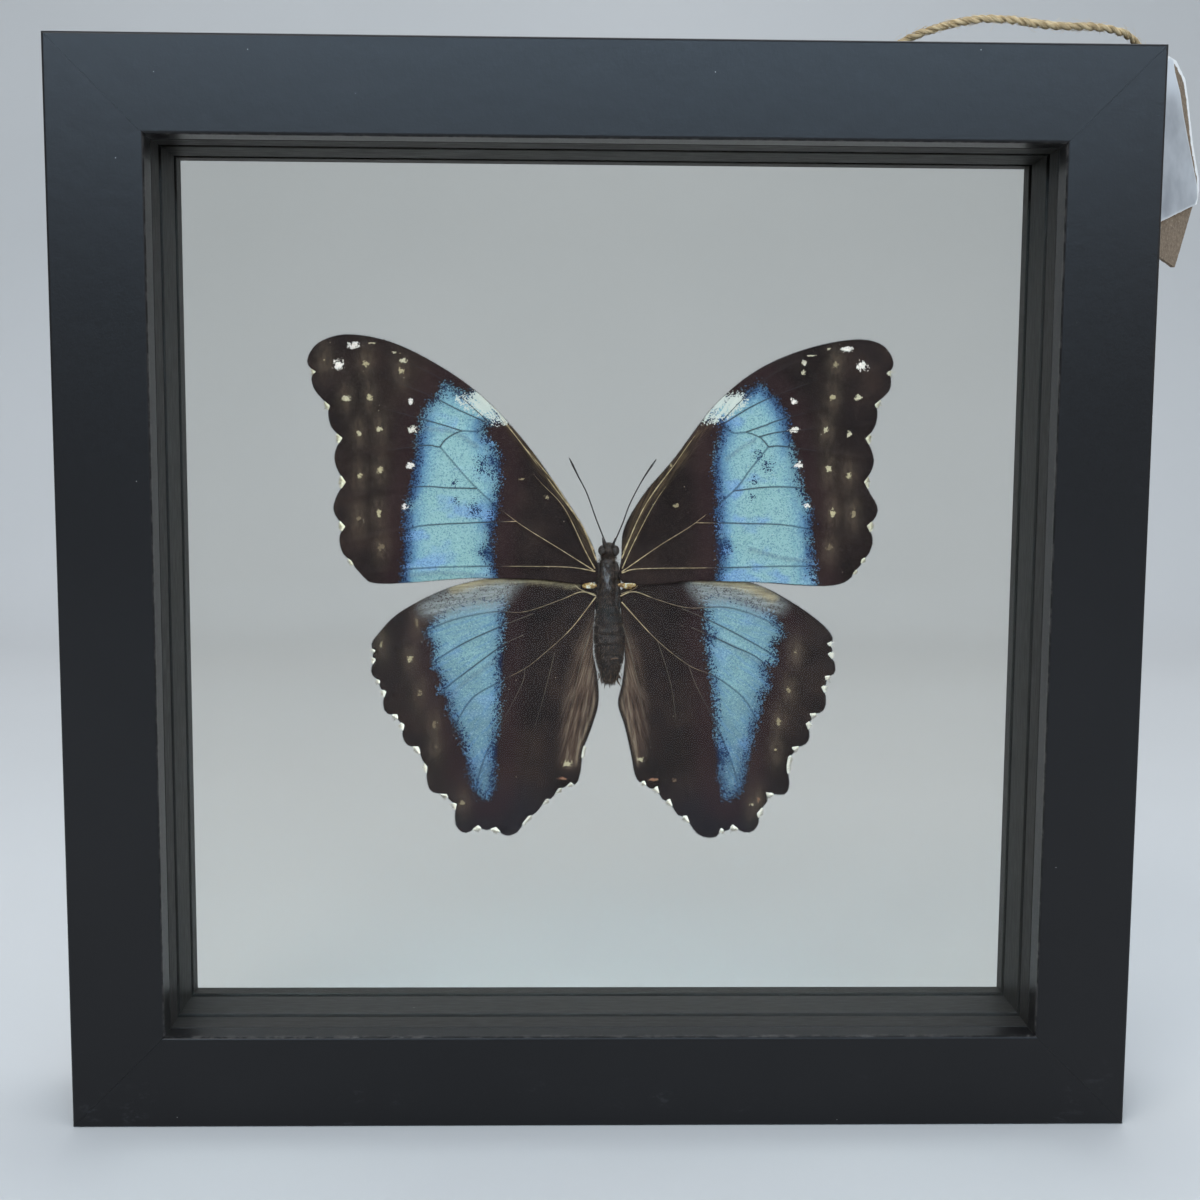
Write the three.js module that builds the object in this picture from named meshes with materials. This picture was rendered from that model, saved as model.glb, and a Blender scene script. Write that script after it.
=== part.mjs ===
// A butterfly specimen in a square see-through frame.
// Millimetres, +Z up. The frame stands on its bottom rail and faces -Y, and the origin is the middle of its
// underside. Shapes are given as [x, deep, z], where deep is measured back from the front face.

import * as THREE from 'three';

// Frame
const WIDTH = 220;
const HEIGHT = 221;
const DEPTH = 31.5;
const FACE = 19.3; // width of a rail seen from the front
const LIP = 5.5; // thickness of the front lip
const WALL = 12.3; // thickness of a rail behind its lip
const EDGE_RADIUS = 0.6;
const MITRE_GAP = 0.15;
const FIT_GAP = 0.3; // between pieces that rest against each other
const PANE = 2;
const PANE_PLAY = 0.8;
const FRONT_PANE_AT = 12;
const BACK_PANE_AT = 25;

// Specimen
const BODY_X = 1.1;
const BODY_AT = 20.8;
const BODY_FLATTENING = 1.18; // how much deeper than wide the body is
const FOREWING_AT = 19;
const HINDWING_AT = 19.7;
const WING_THICKNESS = 0.4;
const OUTLINE_STEP = 1;
const ANTENNA_RADIUS = 0.22;

// Twine and tag
const TWINE_RADIUS = 0.75;
const TAG_HINGE = [110.9, 8.2]; // x and deep of the upright line that the tag's corners are measured from
const TAG_TURN = Math.PI / 4;
const CARD = 0.8;
const LABEL = 0.2;
const HOLE_RADIUS = 0.9;

const COLOURS = {
  rail: [0x1d1c1e, 0.45],
  strip: [0x222224, 0.55],
  glass: [0xdfe8e6, 0.05],
  wing: [0x2b2120, 0.8],
  body: [0x2f2724, 0.9],
  antenna: [0x17130f, 0.5],
  glue: [0xd8b765, 0.2],
  jute: [0xb59a6c, 0.95],
  card: [0x8c7a66, 0.9],
  label: [0xb9b9bb, 0.6],
  steel: [0xa7a9ac, 0.35],
};

const root = new THREE.Group();
root.position.y = -DEPTH / 2;

function material(kind) {
  const [color, roughness] = COLOURS[kind];
  const glass = kind === 'glass';
  return new THREE.MeshStandardMaterial({
    color,
    roughness,
    metalness: kind === 'steel' ? 0.9 : 0,
    transparent: glass,
    opacity: glass ? 0.2 : 1,
  });
}

function add(name, geometry, kind, parent = root) {
  const mesh = new THREE.Mesh(geometry, material(kind));
  mesh.name = name;
  parent.add(mesh);
  return mesh;
}

// ---------------------------------------------------------------- frame

// A bar with mitred ends. Its section is a closed outline of [across, deep], where across is measured
// inwards from the frame's outer edge, and each end is cut back by the same distance.
function mitredBar(section, length) {
  const shape = new THREE.Shape(section.map(([across, deep]) => new THREE.Vector2(across, deep)));
  const bar = new THREE.ExtrudeGeometry(shape, { depth: 1, steps: 1, bevelEnabled: false });
  const position = bar.attributes.position;
  for (let i = 0; i < position.count; i += 1) {
    const across = position.getX(i);
    const side = position.getZ(i) > 0.5 ? -1 : 1;
    position.setXYZ(i, side * (length / 2 - across - MITRE_GAP), position.getY(i), across);
  }
  return bar;
}

// Quarter-circle corner points of a section, from one angle to the next, about a centre.
function corner(across, deep, fromDegrees) {
  return [0, 30, 60, 90].map((turn) => {
    const angle = THREE.MathUtils.degToRad(fromDegrees + turn);
    return [across + EDGE_RADIUS * Math.cos(angle), deep + EDGE_RADIUS * Math.sin(angle)];
  });
}

const railSection = [
  ...corner(EDGE_RADIUS, EDGE_RADIUS, 180),
  ...corner(FACE - EDGE_RADIUS, EDGE_RADIUS, 270),
  [FACE, LIP],
  [WALL, LIP],
  [WALL, DEPTH],
  ...corner(EDGE_RADIUS, DEPTH - EDGE_RADIUS, 90),
];

function stripSection(from, to) {
  return [
    [WALL + FIT_GAP, from],
    [FACE, from],
    [FACE, to],
    [WALL + FIT_GAP, to],
  ];
}

const SIDES = [
  { side: 'bottom', length: WIDTH, turn: 0, x: 0, z: 0 },
  { side: 'top', length: WIDTH, turn: Math.PI, x: 0, z: HEIGHT },
  { side: 'left', length: HEIGHT, turn: Math.PI / 2, x: -WIDTH / 2, z: HEIGHT / 2 },
  { side: 'right', length: HEIGHT, turn: -Math.PI / 2, x: WIDTH / 2, z: HEIGHT / 2 },
];

const BARS = [
  ['rail', 'rail', railSection],
  ['front_strip', 'strip', stripSection(LIP + FIT_GAP, FRONT_PANE_AT - FIT_GAP)],
  ['spacer', 'strip', stripSection(FRONT_PANE_AT + PANE + FIT_GAP, BACK_PANE_AT - FIT_GAP)],
  ['rear_strip', 'strip', stripSection(BACK_PANE_AT + PANE + FIT_GAP, DEPTH - FIT_GAP)],
];

for (const { side, length, turn, x, z } of SIDES) {
  const holder = new THREE.Group();
  holder.rotation.y = turn;
  holder.position.set(x, 0, z);
  root.add(holder);
  for (const [bar, kind, section] of BARS) {
    add(`${bar}_${side}`, mitredBar(section, length), kind, holder);
  }
}

for (const [name, at] of [['front_glass', FRONT_PANE_AT], ['back_glass', BACK_PANE_AT]]) {
  const inset = 2 * (WALL + PANE_PLAY);
  const pane = add(name, new THREE.BoxGeometry(WIDTH - inset, PANE, HEIGHT - inset), 'glass');
  pane.position.set(0, at + PANE / 2, HEIGHT / 2);
}

// ---------------------------------------------------------------- wings

// Each outline is a ring of smooth stretches, [x, z] from the middle of the frame's underside. The
// stretches meet in the sharp notches of the scalloped margin.
const FOREWING_LEFT = [
  [[-1.7, 112.9], [-1.7, 118.4], [-4, 123.8], [-10, 133.1], [-16.1, 141.5], [-22.9, 149.1],
    [-29.9, 155.1], [-41, 161.5], [-48.1, 163.9], [-55.7, 164.4], [-60.6, 162.3], [-62.4, 159.1],
    [-62, 157.8], [-60.6, 156.8]],
  [[-61.5, 155.9], [-61.1, 153.4], [-59.4, 151.2], [-57.7, 149.7]],
  [[-58.1, 148.9], [-57.7, 145.7], [-56.4, 144], [-55.2, 143]],
  [[-56.6, 140.7], [-56.9, 138.2], [-56.1, 135.8], [-54.8, 133.7]],
  [[-56.5, 130.9], [-57.3, 127.9], [-56.3, 125.8], [-55, 124.3]],
  [[-56, 122.4], [-55.9, 120.1], [-55.1, 118.2], [-53.6, 117]],
  [[-52.9, 115.7], [-51.5, 114.1]],
  [[-49.9, 112.6], [-47.1, 112.2], [-41.7, 112.4], [-28.7, 113.4], [-14.6, 113.2]],
];
const FOREWING_RIGHT = [
  [[3.9, 112.9], [3.9, 118.4], [4.3, 123.8], [8.4, 131.3], [14.5, 138.6], [23.7, 150.7], [32.5, 157.9],
    [43.7, 162.6], [54.8, 164.3], [59, 162.9], [61, 159.9], [60.8, 158.3], [59.7, 157.3]],
  [[60.5, 156.7], [60.4, 153.9], [58.7, 152], [57.2, 150.7]],
  [[57.8, 149.9], [57.7, 146.9], [56.8, 145], [55.5, 143.6]],
  [[56.7, 141.4], [57.4, 138.8], [56.8, 136.5], [55.4, 134.4]],
  [[56.6, 132.2], [58.5, 128.6], [57.8, 126.5], [56.4, 125]],
  [[57.2, 123.4], [57.6, 121.7], [56.6, 118.7], [55.4, 117.7]],
  [[55.4, 117.1], [54.3, 115.7], [53.6, 115]],
  [[53.4, 114.3], [51.7, 112.9], [48.8, 112.2], [42.3, 112.2], [33.3, 112.8], [20.8, 113.1]],
];
const HINDWING_LEFT = [
  [[-2.1, 102], [-1.8, 106], [-1.7, 111.2], [-7.1, 112.8], [-13.3, 113.4], [-19.3, 113.8],
    [-27.7, 112.7], [-33.6, 111], [-39.8, 108.1], [-44.8, 104.9], [-48, 101.4], [-49.4, 99.5],
    [-49.5, 98.2], [-48.7, 97.7]],
  [[-49.5, 96.5], [-48.6, 95.8]],
  [[-49.7, 93.6], [-49.1, 91.9], [-47.8, 91.2]],
  [[-47.9, 89.7], [-46.6, 88.8]],
  [[-47.1, 87.1], [-47, 84.9], [-46.1, 83.9], [-44.3, 83.7]],
  [[-43.9, 82.4], [-42.8, 81.5]],
  [[-43.1, 79.5], [-42.6, 77.8], [-41.8, 77], [-39.7, 76.7]],
  [[-39.4, 75.7], [-38.8, 73.8], [-37.8, 72.4]],
  [[-37.9, 69.8], [-37.3, 67.4], [-36.4, 66.7], [-33.6, 66.4]],
  [[-32.9, 64.9], [-31.4, 64.2]],
  [[-31.8, 62.3], [-31.5, 59.2], [-30, 57.8], [-28.6, 58.1], [-26.9, 59.3]],
  [[-25.6, 58.4], [-24.3, 58.5], [-23, 58.9]],
  [[-21, 57.2], [-18.5, 57.8], [-16.9, 60.1], [-15.9, 61.4]],
  [[-14.5, 62.1], [-12.8, 64.3], [-12.1, 65.4]],
  [[-11, 65.4], [-10, 66.8], [-9.4, 67.7]],
  [[-8.6, 67.7], [-7.6, 68.3], [-6.7, 69]],
  [[-5.7, 68.5], [-4.8, 70.9], [-4.1, 76.2], [-2.4, 80.9], [-0.9, 86.4], [-1.2, 92.4], [-2.1, 97]],
];
const HINDWING_RIGHT = [
  [[4.2, 102.9], [4.8, 96.6], [4.2, 90.5], [3.4, 86.4], [4.9, 81.3], [6.5, 74.3], [7.1, 71.1], [8.1, 69.1],
    [9.2, 69.2]],
  [[9.7, 68.3], [11, 67.5], [12, 68]],
  [[12.4, 66.8], [13.5, 65], [14.8, 65.2]],
  [[15.3, 63.9], [16.9, 61.6], [18.5, 61.5]],
  [[19.4, 59.6], [21.4, 57.3], [23.6, 56.7], [25.2, 57.1], [26.1, 58.7]],
  [[26.7, 58.2], [27.9, 58.6], [28.6, 59.5]],
  [[31, 58], [33, 58.2], [34.3, 60.3], [34, 62.1]],
  [[35.4, 63.9], [36.2, 65.2], [35.9, 66.7]],
  [[39.1, 66.3], [40.2, 66.6], [40.8, 68.7], [40.3, 72.4], [40.6, 74.6]],
  [[41.8, 75.8], [41.4, 76.7]],
  [[43.9, 77.3], [44.9, 78.6], [44.9, 80.4], [44.3, 81.9]],
  [[45.6, 83.2], [45.1, 84.1]],
  [[47.6, 84.6], [48.3, 85.9], [48.3, 88.2], [47.5, 90]],
  [[48.5, 90.8], [48.2, 92.3]],
  [[49.9, 92.8], [50.3, 93.7], [50, 95.6], [48.8, 97.2]],
  [[49.7, 98.2], [48.6, 99.5]],
  [[49.7, 100.2], [48.6, 102.3], [46.2, 104.6], [40.5, 108.5], [34.4, 111.7], [28.1, 113.4], [19.9, 113.8],
    [12.2, 113.1], [4.1, 111.2], [3.8, 107]],
];

// Points about OUTLINE_STEP apart along the stretches. Each stretch starts from the end of the one before.
function outline(stretches) {
  const ring = [];
  stretches.forEach((stretch, index) => {
    const before = stretches.at(index - 1).at(-1);
    const through = [before, ...stretch].map(([x, z]) => new THREE.Vector3(x, z, 0));
    const curve = new THREE.CatmullRomCurve3(through, false, 'centripetal');
    const steps = Math.max(2, Math.round(curve.getLength() / OUTLINE_STEP));
    for (const point of curve.getSpacedPoints(steps).slice(1)) {
      ring.push(new THREE.Vector2(point.x, point.y));
    }
  });
  return ring;
}

// A flat upright plate of a shape in x and z, from deep back to deep + thickness.
function plate(shape, deep, thickness) {
  const settings = { depth: thickness, bevelEnabled: false, curveSegments: 8 };
  const geometry = new THREE.ExtrudeGeometry(shape, settings);
  geometry.rotateX(Math.PI / 2);
  geometry.translate(0, deep + thickness, 0);
  return geometry;
}

for (const [name, stretches, at] of [
  ['forewing_left', FOREWING_LEFT, FOREWING_AT],
  ['forewing_right', FOREWING_RIGHT, FOREWING_AT],
  ['hindwing_left', HINDWING_LEFT, HINDWING_AT],
  ['hindwing_right', HINDWING_RIGHT, HINDWING_AT],
]) {
  add(name, plate(new THREE.Shape(outline(stretches)), at, WING_THICKNESS), 'wing');
}

// ---------------------------------------------------------------- body and antennae

// [radius, z] from the tip of the abdomen up to the front of the head
const BODY_PROFILE = [
  [0, 89.4], [0.8, 89.9], [1.6, 92], [2.2, 95], [2.6, 99], [2.6, 102], [2.2, 105.5], [1.7, 108], [2, 110],
  [2.3, 113], [2.1, 116], [1.6, 117.6], [2.3, 118.7], [2.3, 119.9], [1.2, 121.1], [0, 121.5],
];
const bodyProfile = BODY_PROFILE.map(([radius, z]) => new THREE.Vector2(radius, z));
const bodyShape = new THREE.LatheGeometry(bodyProfile, 16);
bodyShape.rotateX(Math.PI / 2);
bodyShape.scale(1, BODY_FLATTENING, 1);
const body = add('body', bodyShape, 'body');
body.position.set(BODY_X, BODY_AT, 0);

// A round rod of even thickness along a smooth curve through [x, deep, z] points.
function rod(points, radius, steps, sides) {
  const path = new THREE.CatmullRomCurve3(points.map((p) => new THREE.Vector3(...p)), false, 'centripetal');
  const section = [];
  for (let i = 0; i < sides; i += 1) {
    const angle = (2 * Math.PI * i) / sides;
    section.push(new THREE.Vector2(radius * Math.cos(angle), radius * Math.sin(angle)));
  }
  return new THREE.ExtrudeGeometry(new THREE.Shape(section), { steps, extrudePath: path });
}

const ANTENNA_LEFT = [[-0.6, 18.6, 121.4], [-3, 18.4, 128], [-5.2, 18.2, 134], [-7.4, 18, 139]];
const ANTENNA_RIGHT = [[2.6, 18.6, 121.4], [4.6, 18.4, 128.4], [7.4, 18.2, 133.8], [10.9, 18, 138.7]];
add('antenna_left', rod(ANTENNA_LEFT, ANTENNA_RADIUS, 10, 6), 'antenna');
add('antenna_right', rod(ANTENNA_RIGHT, ANTENNA_RADIUS, 10, 6), 'antenna');

// ---------------------------------------------------------------- glue

const DAB_SIZE = [1.5, 0.45, 0.7]; // half sizes
for (const [name, x] of [['glue_dab_left', -3.1], ['glue_dab_right', 5.6]]) {
  const dab = add(name, new THREE.SphereGeometry(1, 12, 8).scale(...DAB_SIZE), 'glue');
  dab.position.set(x, FOREWING_AT - FIT_GAP - DAB_SIZE[1], 112);
}

const bodyBack = BODY_AT + 2.3 * BODY_FLATTENING;
const padThickness = BACK_PANE_AT - bodyBack - 2 * FIT_GAP;
const pad = add('body_glue', new THREE.CylinderGeometry(2.2, 2.6, padThickness, 20), 'glue');
pad.position.set(BODY_X, BACK_PANE_AT - FIT_GAP - padThickness / 2, 113);

// ---------------------------------------------------------------- twine and tag

// The twine starts under its staple on the back of the top rail, crosses the rail's top in a low arch
// near the front, and goes over the right edge and down behind the tag to its hole.
const TWINE = [
  [52, 32.6, 208.5], [52, 32.6, 211.5], [52, 32.7, 214.5], [52.1, 33.3, 217.3], [52.5, 33.4, 219.6],
  [53, 32.2, 222], [53.8, 29.2, 223.1], [54.6, 25.2, 222.5], [55.4, 20.8, 222.1], [56.5, 16.5, 222.1],
  [58.4, 12.4, 222.8], [61.6, 9.4, 224.2], [65.8, 7.8, 225.4], [70.4, 7, 226.4], [75.2, 6.6, 227],
  [80, 6.6, 226.9], [84.8, 6.8, 226.3], [89.6, 7, 225.9], [94.4, 7.2, 225.9], [98.8, 7.6, 225.8],
  [102.6, 8.8, 225.5], [105.6, 10.6, 225], [107.9, 12.6, 224.1], [109.6, 14.1, 222.8],
  [110.9, 14.9, 221.4], [111.5, 14.9, 219.8], [111.8, 14.2, 217.9], [112, 13.3, 216.2], [112, 12.6, 214.7],
];
add('twine', rod(TWINE, TWINE_RADIUS, 60, 8), 'jute');

// The staple's wire, as a U in x and deep round the twine.
const STAPLE = { halfWidth: 3.4, wire: 0.6, front: DEPTH + FIT_GAP, back: 34.3, x: 52, z: 212.4 };
const { halfWidth, wire, front, back } = STAPLE;
const stapleShape = new THREE.Shape([
  new THREE.Vector2(-halfWidth, front),
  new THREE.Vector2(-halfWidth + wire, front),
  new THREE.Vector2(-halfWidth + wire, back - wire),
  new THREE.Vector2(halfWidth - wire, back - wire),
  new THREE.Vector2(halfWidth - wire, front),
  new THREE.Vector2(halfWidth, front),
  new THREE.Vector2(halfWidth, back),
  new THREE.Vector2(-halfWidth, back),
]);
const stapleWire = new THREE.ExtrudeGeometry(stapleShape, { depth: wire, bevelEnabled: false });
const staple = add('twine_staple', stapleWire, 'steel');
staple.position.set(STAPLE.x, 0, STAPLE.z);

// The tag's leaves stand upright in planes turned away from the frame's right side. Their corners are given
// as distance from the hinge line and height.
const tag = new THREE.Group();
tag.position.set(TAG_HINGE[0], TAG_HINGE[1], 0);
tag.rotation.z = TAG_TURN;
root.add(tag);

const CARD_CORNERS = [
  [-0.2, 186.9], [20.9, 193.6], [21.8, 196.5], [21.4, 199.2], [17.8, 206], [14.8, 213.4], [12.4, 218.1],
  [7.6, 221], [4, 221.3], [-0.2, 219.2],
];
const LABEL_CORNERS = [
  [0.1, 187.4], [18.8, 193.2], [19.9, 194.7], [19.5, 197.2], [15.7, 203.4], [11.4, 210.4], [9.1, 214.8],
  [6.2, 218.3], [5, 220.6], [3.4, 220.7], [0.1, 218.9],
];
const BACK_CORNERS = [[0.6, 182.5], [6.6, 181.2], [13.7, 179.8], [21.6, 193.9], [9, 204], [0.6, 202]];
const HOLE = [1.5, 214];

function leaf(corners, pierced) {
  const shape = new THREE.Shape(corners.map(([along, z]) => new THREE.Vector2(along, z)));
  if (pierced) {
    const hole = new THREE.Path();
    hole.absarc(HOLE[0], HOLE[1], HOLE_RADIUS, 0, 2 * Math.PI, true);
    shape.holes.push(hole);
  }
  return shape;
}

add('tag_card', plate(leaf(CARD_CORNERS, true), -CARD / 2, CARD), 'card', tag);
add('tag_label', plate(leaf(LABEL_CORNERS, true), -CARD / 2 - FIT_GAP - LABEL, LABEL), 'label', tag);
add('tag_back_card', plate(leaf(BACK_CORNERS, false), CARD / 2 + FIT_GAP, CARD), 'card', tag);

export default root;
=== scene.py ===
"""The looks of a butterfly specimen in a square see-through frame.

Shapes are worked out in millimetres as [x, deep, z], where deep is measured back from the frame's front face,
and put into Blender in metres. The butterfly's wings lie in planes of x and z.
"""

import math
from collections import defaultdict

import bpy
import numpy as np
from mathutils import Matrix, Vector, noise


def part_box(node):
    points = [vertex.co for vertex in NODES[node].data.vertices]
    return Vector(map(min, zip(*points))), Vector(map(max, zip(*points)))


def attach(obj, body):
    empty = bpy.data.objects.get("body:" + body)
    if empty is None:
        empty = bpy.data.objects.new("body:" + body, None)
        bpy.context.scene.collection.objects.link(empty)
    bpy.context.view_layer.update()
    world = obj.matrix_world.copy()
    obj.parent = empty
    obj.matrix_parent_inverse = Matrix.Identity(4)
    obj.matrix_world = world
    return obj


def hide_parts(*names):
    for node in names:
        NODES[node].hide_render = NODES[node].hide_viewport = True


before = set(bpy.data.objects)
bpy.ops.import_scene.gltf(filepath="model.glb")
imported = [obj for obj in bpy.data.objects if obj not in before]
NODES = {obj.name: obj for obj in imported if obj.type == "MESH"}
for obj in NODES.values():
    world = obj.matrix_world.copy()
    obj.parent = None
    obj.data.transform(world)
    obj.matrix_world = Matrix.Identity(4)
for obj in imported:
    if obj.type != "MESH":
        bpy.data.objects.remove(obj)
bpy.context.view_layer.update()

MM = 0.001
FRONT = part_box("rail_bottom")[0].y / MM  # the row frame's y of the front face, in mm


def box_mm(node):
    """Lowest and highest corner of a CAD node, as [x, deep, z] in mm."""
    return [Vector((p.x / MM, p.y / MM - FRONT, p.z / MM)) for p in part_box(node)]


LOW, HIGH = box_mm("rail_top")[0], box_mm("rail_top")[1]
WIDTH = box_mm("rail_right")[1].x - box_mm("rail_left")[0].x
HEIGHT = HIGH.z
DEPTH = HIGH.y
FACE = HIGH.z - LOW.z  # a rail's width seen from the front


def to_row(points):
    """[x, deep, z] in mm to metres in the row frame."""
    points = np.array(points, float).reshape(-1, 3)
    return (points + [0, FRONT, 0]) * MM


# ------------------------------------------------------------------ camera and twine

CAMERA_AT = (-7.9, -310.9, 143.0)
CAMERA_LENS = 46.43
CAMERA_TURNS = (5.92, -1.25, 0.24)  # degrees: down, aside, rolled


def make_camera():
    data = bpy.data.cameras.new("camera")
    data.lens = CAMERA_LENS
    data.sensor_width = 36
    data.clip_start, data.clip_end = 0.01, 20
    down, aside, rolled = (math.radians(a) for a in CAMERA_TURNS)
    straight = Matrix(((1, 0, 0), (0, 0, -1), (0, 1, 0)))
    seen = Matrix.Rotation(rolled, 3, "Z") @ Matrix.Rotation(aside, 3, "Y") @ Matrix.Rotation(down, 3, "X")
    axes = (seen @ straight).transposed() @ Matrix.Diagonal((1, -1, -1))
    camera = bpy.data.objects.new("camera", data)
    bpy.context.collection.objects.link(camera)
    camera.matrix_world = Matrix.Translation(to_row(CAMERA_AT)[0]) @ axes.to_4x4()
    bpy.context.scene.camera = camera


make_camera()

TWINE_ROUTE = [
    (52, 32.6, 208.5), (52, 32.6, 211.5), (52, 32.7, 214.5), (52.1, 33.3, 217.3), (52.5, 33.4, 219.6),
    (53, 32.2, 222), (53.8, 29.2, 223.1), (54.6, 25.2, 222.5), (55.4, 20.8, 222.1), (56.5, 16.5, 222.1),
    (58.4, 12.4, 222.8), (61.6, 9.4, 224.2), (65.8, 7.8, 225.4), (70.4, 7, 226.4), (75.2, 6.6, 227),
    (80, 6.6, 226.9), (84.8, 6.8, 226.3), (89.6, 7, 225.9), (94.4, 7.2, 225.9), (98.8, 7.6, 225.8),
    (102.6, 8.8, 225.5), (105.6, 10.6, 225), (107.9, 12.6, 224.1), (109.6, 14.1, 222.8), (110.9, 14.9, 221.4),
    (111.5, 14.9, 219.8), (111.8, 14.2, 217.9), (112, 13.3, 216.2), (112, 12.6, 214.7),
]


# ------------------------------------------------------------------ curves and meshes


def smooth(points, spacing):
    """Points about so far apart along a smooth curve through the given points."""
    points = np.array(points, float)
    if len(points) < 3:
        steps = max(2, math.ceil(np.linalg.norm(points[-1] - points[0]) / spacing))
        return points[0] + np.linspace(0, 1, steps + 1)[:, None] * (points[-1] - points[0])
    ends = [2 * points[0] - points[1]], [2 * points[-1] - points[-2]]
    knots = np.concatenate([ends[0], points, ends[1]])
    made = []
    for a, b, c, d in zip(knots, knots[1:], knots[2:], knots[3:]):
        t = np.linspace(0, 1, max(2, math.ceil(np.linalg.norm(c - b) / spacing)), endpoint=False)[:, None]
        curve = 2 * b + (c - a) * t + (2 * a - 5 * b + 4 * c - d) * t**2 + (3 * b - a - 3 * c + d) * t**3
        made.append(0.5 * curve)
    return np.concatenate([*made, points[-1:]])


def along(path):
    """Distance travelled at each point of a path."""
    return np.concatenate([[0], np.cumsum(np.linalg.norm(np.diff(path, axis=0), axis=1))])


def frames(path):
    """Two sideways directions at each point of a path, which turn with it and don't twist."""
    way = np.gradient(path, axis=0)
    way /= np.linalg.norm(way, axis=1)[:, None]
    side = np.cross(way[0], [0, 1, 0] if abs(way[0][1]) < 0.9 else [1, 0, 0])
    sides = []
    for direction in way:
        side = side - direction * side.dot(direction)
        side /= np.linalg.norm(side)
        sides.append(side)
    sides = np.array(sides)
    return sides, np.cross(way, sides)


def lofted(rings, sides):
    """The faces of a closed form of so many rings of points."""
    count = rings * sides
    faces = [tuple(range(sides))[::-1], tuple(range(count - sides, count))]
    for start in range(0, count - sides, sides):
        end = start + sides
        for i in range(sides):
            j = (i + 1) % sides
            faces.append((start + i, start + j, end + j, end + i))
    return faces


def open_sides(quads):
    """The sides that only one of the squares has."""
    sides = np.concatenate([quads[:, [k, (k + 1) % 4]] for k in range(4)])
    both = {tuple(side) for side in sides.tolist()}
    return [(a, b) for a, b in both if (b, a) not in both]


class Shape:
    """Points in mm, faces, material slots and per-point values of one piece, before its mesh is made."""

    def __init__(self):
        self.points, self.faces, self.slots, self.count = [], [], [], 0
        self.values = defaultdict(list)

    def add(self, points, faces, slot=0, **values):
        points = np.array(points, float)
        self.faces += [tuple(i + self.count for i in face) for face in faces]
        self.slots += [slot] * len(faces)
        self.points.append(points)
        for name, value in values.items():
            self.values[name].append((self.count, np.broadcast_to(value, len(points))))
        self.count += len(points)

    def tube(self, path, radius, sides=8, slot=0, **values):
        """A closed tube round a path. radius is one number or one per point."""
        path = np.array(path, float)
        radius = np.broadcast_to(radius, len(path))
        a, b = frames(path)
        turn = np.linspace(0, 2 * math.pi, sides, endpoint=False)
        ring = np.cos(turn)[None, :, None] * a[:, None] + np.sin(turn)[None, :, None] * b[:, None]
        points = (path[:, None] + ring * radius[:, None, None]).reshape(-1, 3)
        spread = {name: np.repeat(np.broadcast_to(v, len(path)), sides) for name, v in values.items()}
        self.add(points, lofted(len(path), sides), slot, **spread)

    def spike(self, root, tip, width, slot=0, **values):
        """A thin three-sided hair."""
        root, tip = np.array(root, float), np.array(tip, float)
        a, b = frames(np.array([root, tip]))
        corners = [root + width * (math.cos(t) * a[0] + math.sin(t) * b[0]) for t in (0, 2.1, 4.2)]
        self.add([*corners, tip], [(0, 2, 1), (0, 1, 3), (1, 2, 3), (2, 0, 3)], slot, **values)

    def sheet(self, front, back, quads, slots, front_values, back_values):
        """A thin sheet of two grids of squares, joined round their open sides."""
        self.add(front, quads.tolist(), slots[0], **front_values)
        self.add(back, quads[:, ::-1].tolist(), slots[1], **back_values)
        first, second = self.count - 2 * len(front), self.count - len(front)
        self.slots += [slots[1]] * len(open_sides(quads))
        self.faces += [(first + b, first + a, second + a, second + b) for a, b in open_sides(quads)]

    def make(self, name, materials, crease=None):
        """The finished object, smooth except at edges sharper than crease degrees."""
        mesh = bpy.data.meshes.new(name)
        mesh.from_pydata(to_row(np.concatenate(self.points)).tolist(), [], self.faces)
        for look in materials:
            mesh.materials.append(look)
        mesh.polygons.foreach_set("material_index", self.slots)
        mesh.polygons.foreach_set("use_smooth", [True] * len(self.faces))
        for value_name, parts in self.values.items():
            data = np.zeros(self.count, np.float32)
            for start, part in parts:
                data[start : start + len(part)] = part
            mesh.attributes.new(value_name, "FLOAT", "POINT").data.foreach_set("value", data)
        mesh.validate()
        if crease is not None:
            mesh.set_sharp_from_angle(angle=math.radians(crease))
        piece = bpy.data.objects.new(name, mesh)
        bpy.context.collection.objects.link(piece)
        return piece


def ride(piece, slot, *nodes):
    """The piece rides on the frame and stands for the CAD nodes, which are hidden. slot is not used."""
    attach(piece, "root")
    if nodes:
        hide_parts(*nodes)
    return piece


# ------------------------------------------------------------------ materials


def linear(shade):
    """A colour of three parts from 0 to 255 in sRGB as Blender takes it, and anything else as it is."""
    if not isinstance(shade, tuple) or len(shade) != 3:
        return shade
    parts = [c / 255 for c in shade]
    return (*(c / 12.92 if c <= 0.04045 else ((c + 0.055) / 1.055) ** 2.4 for c in parts), 1.0)


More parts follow.
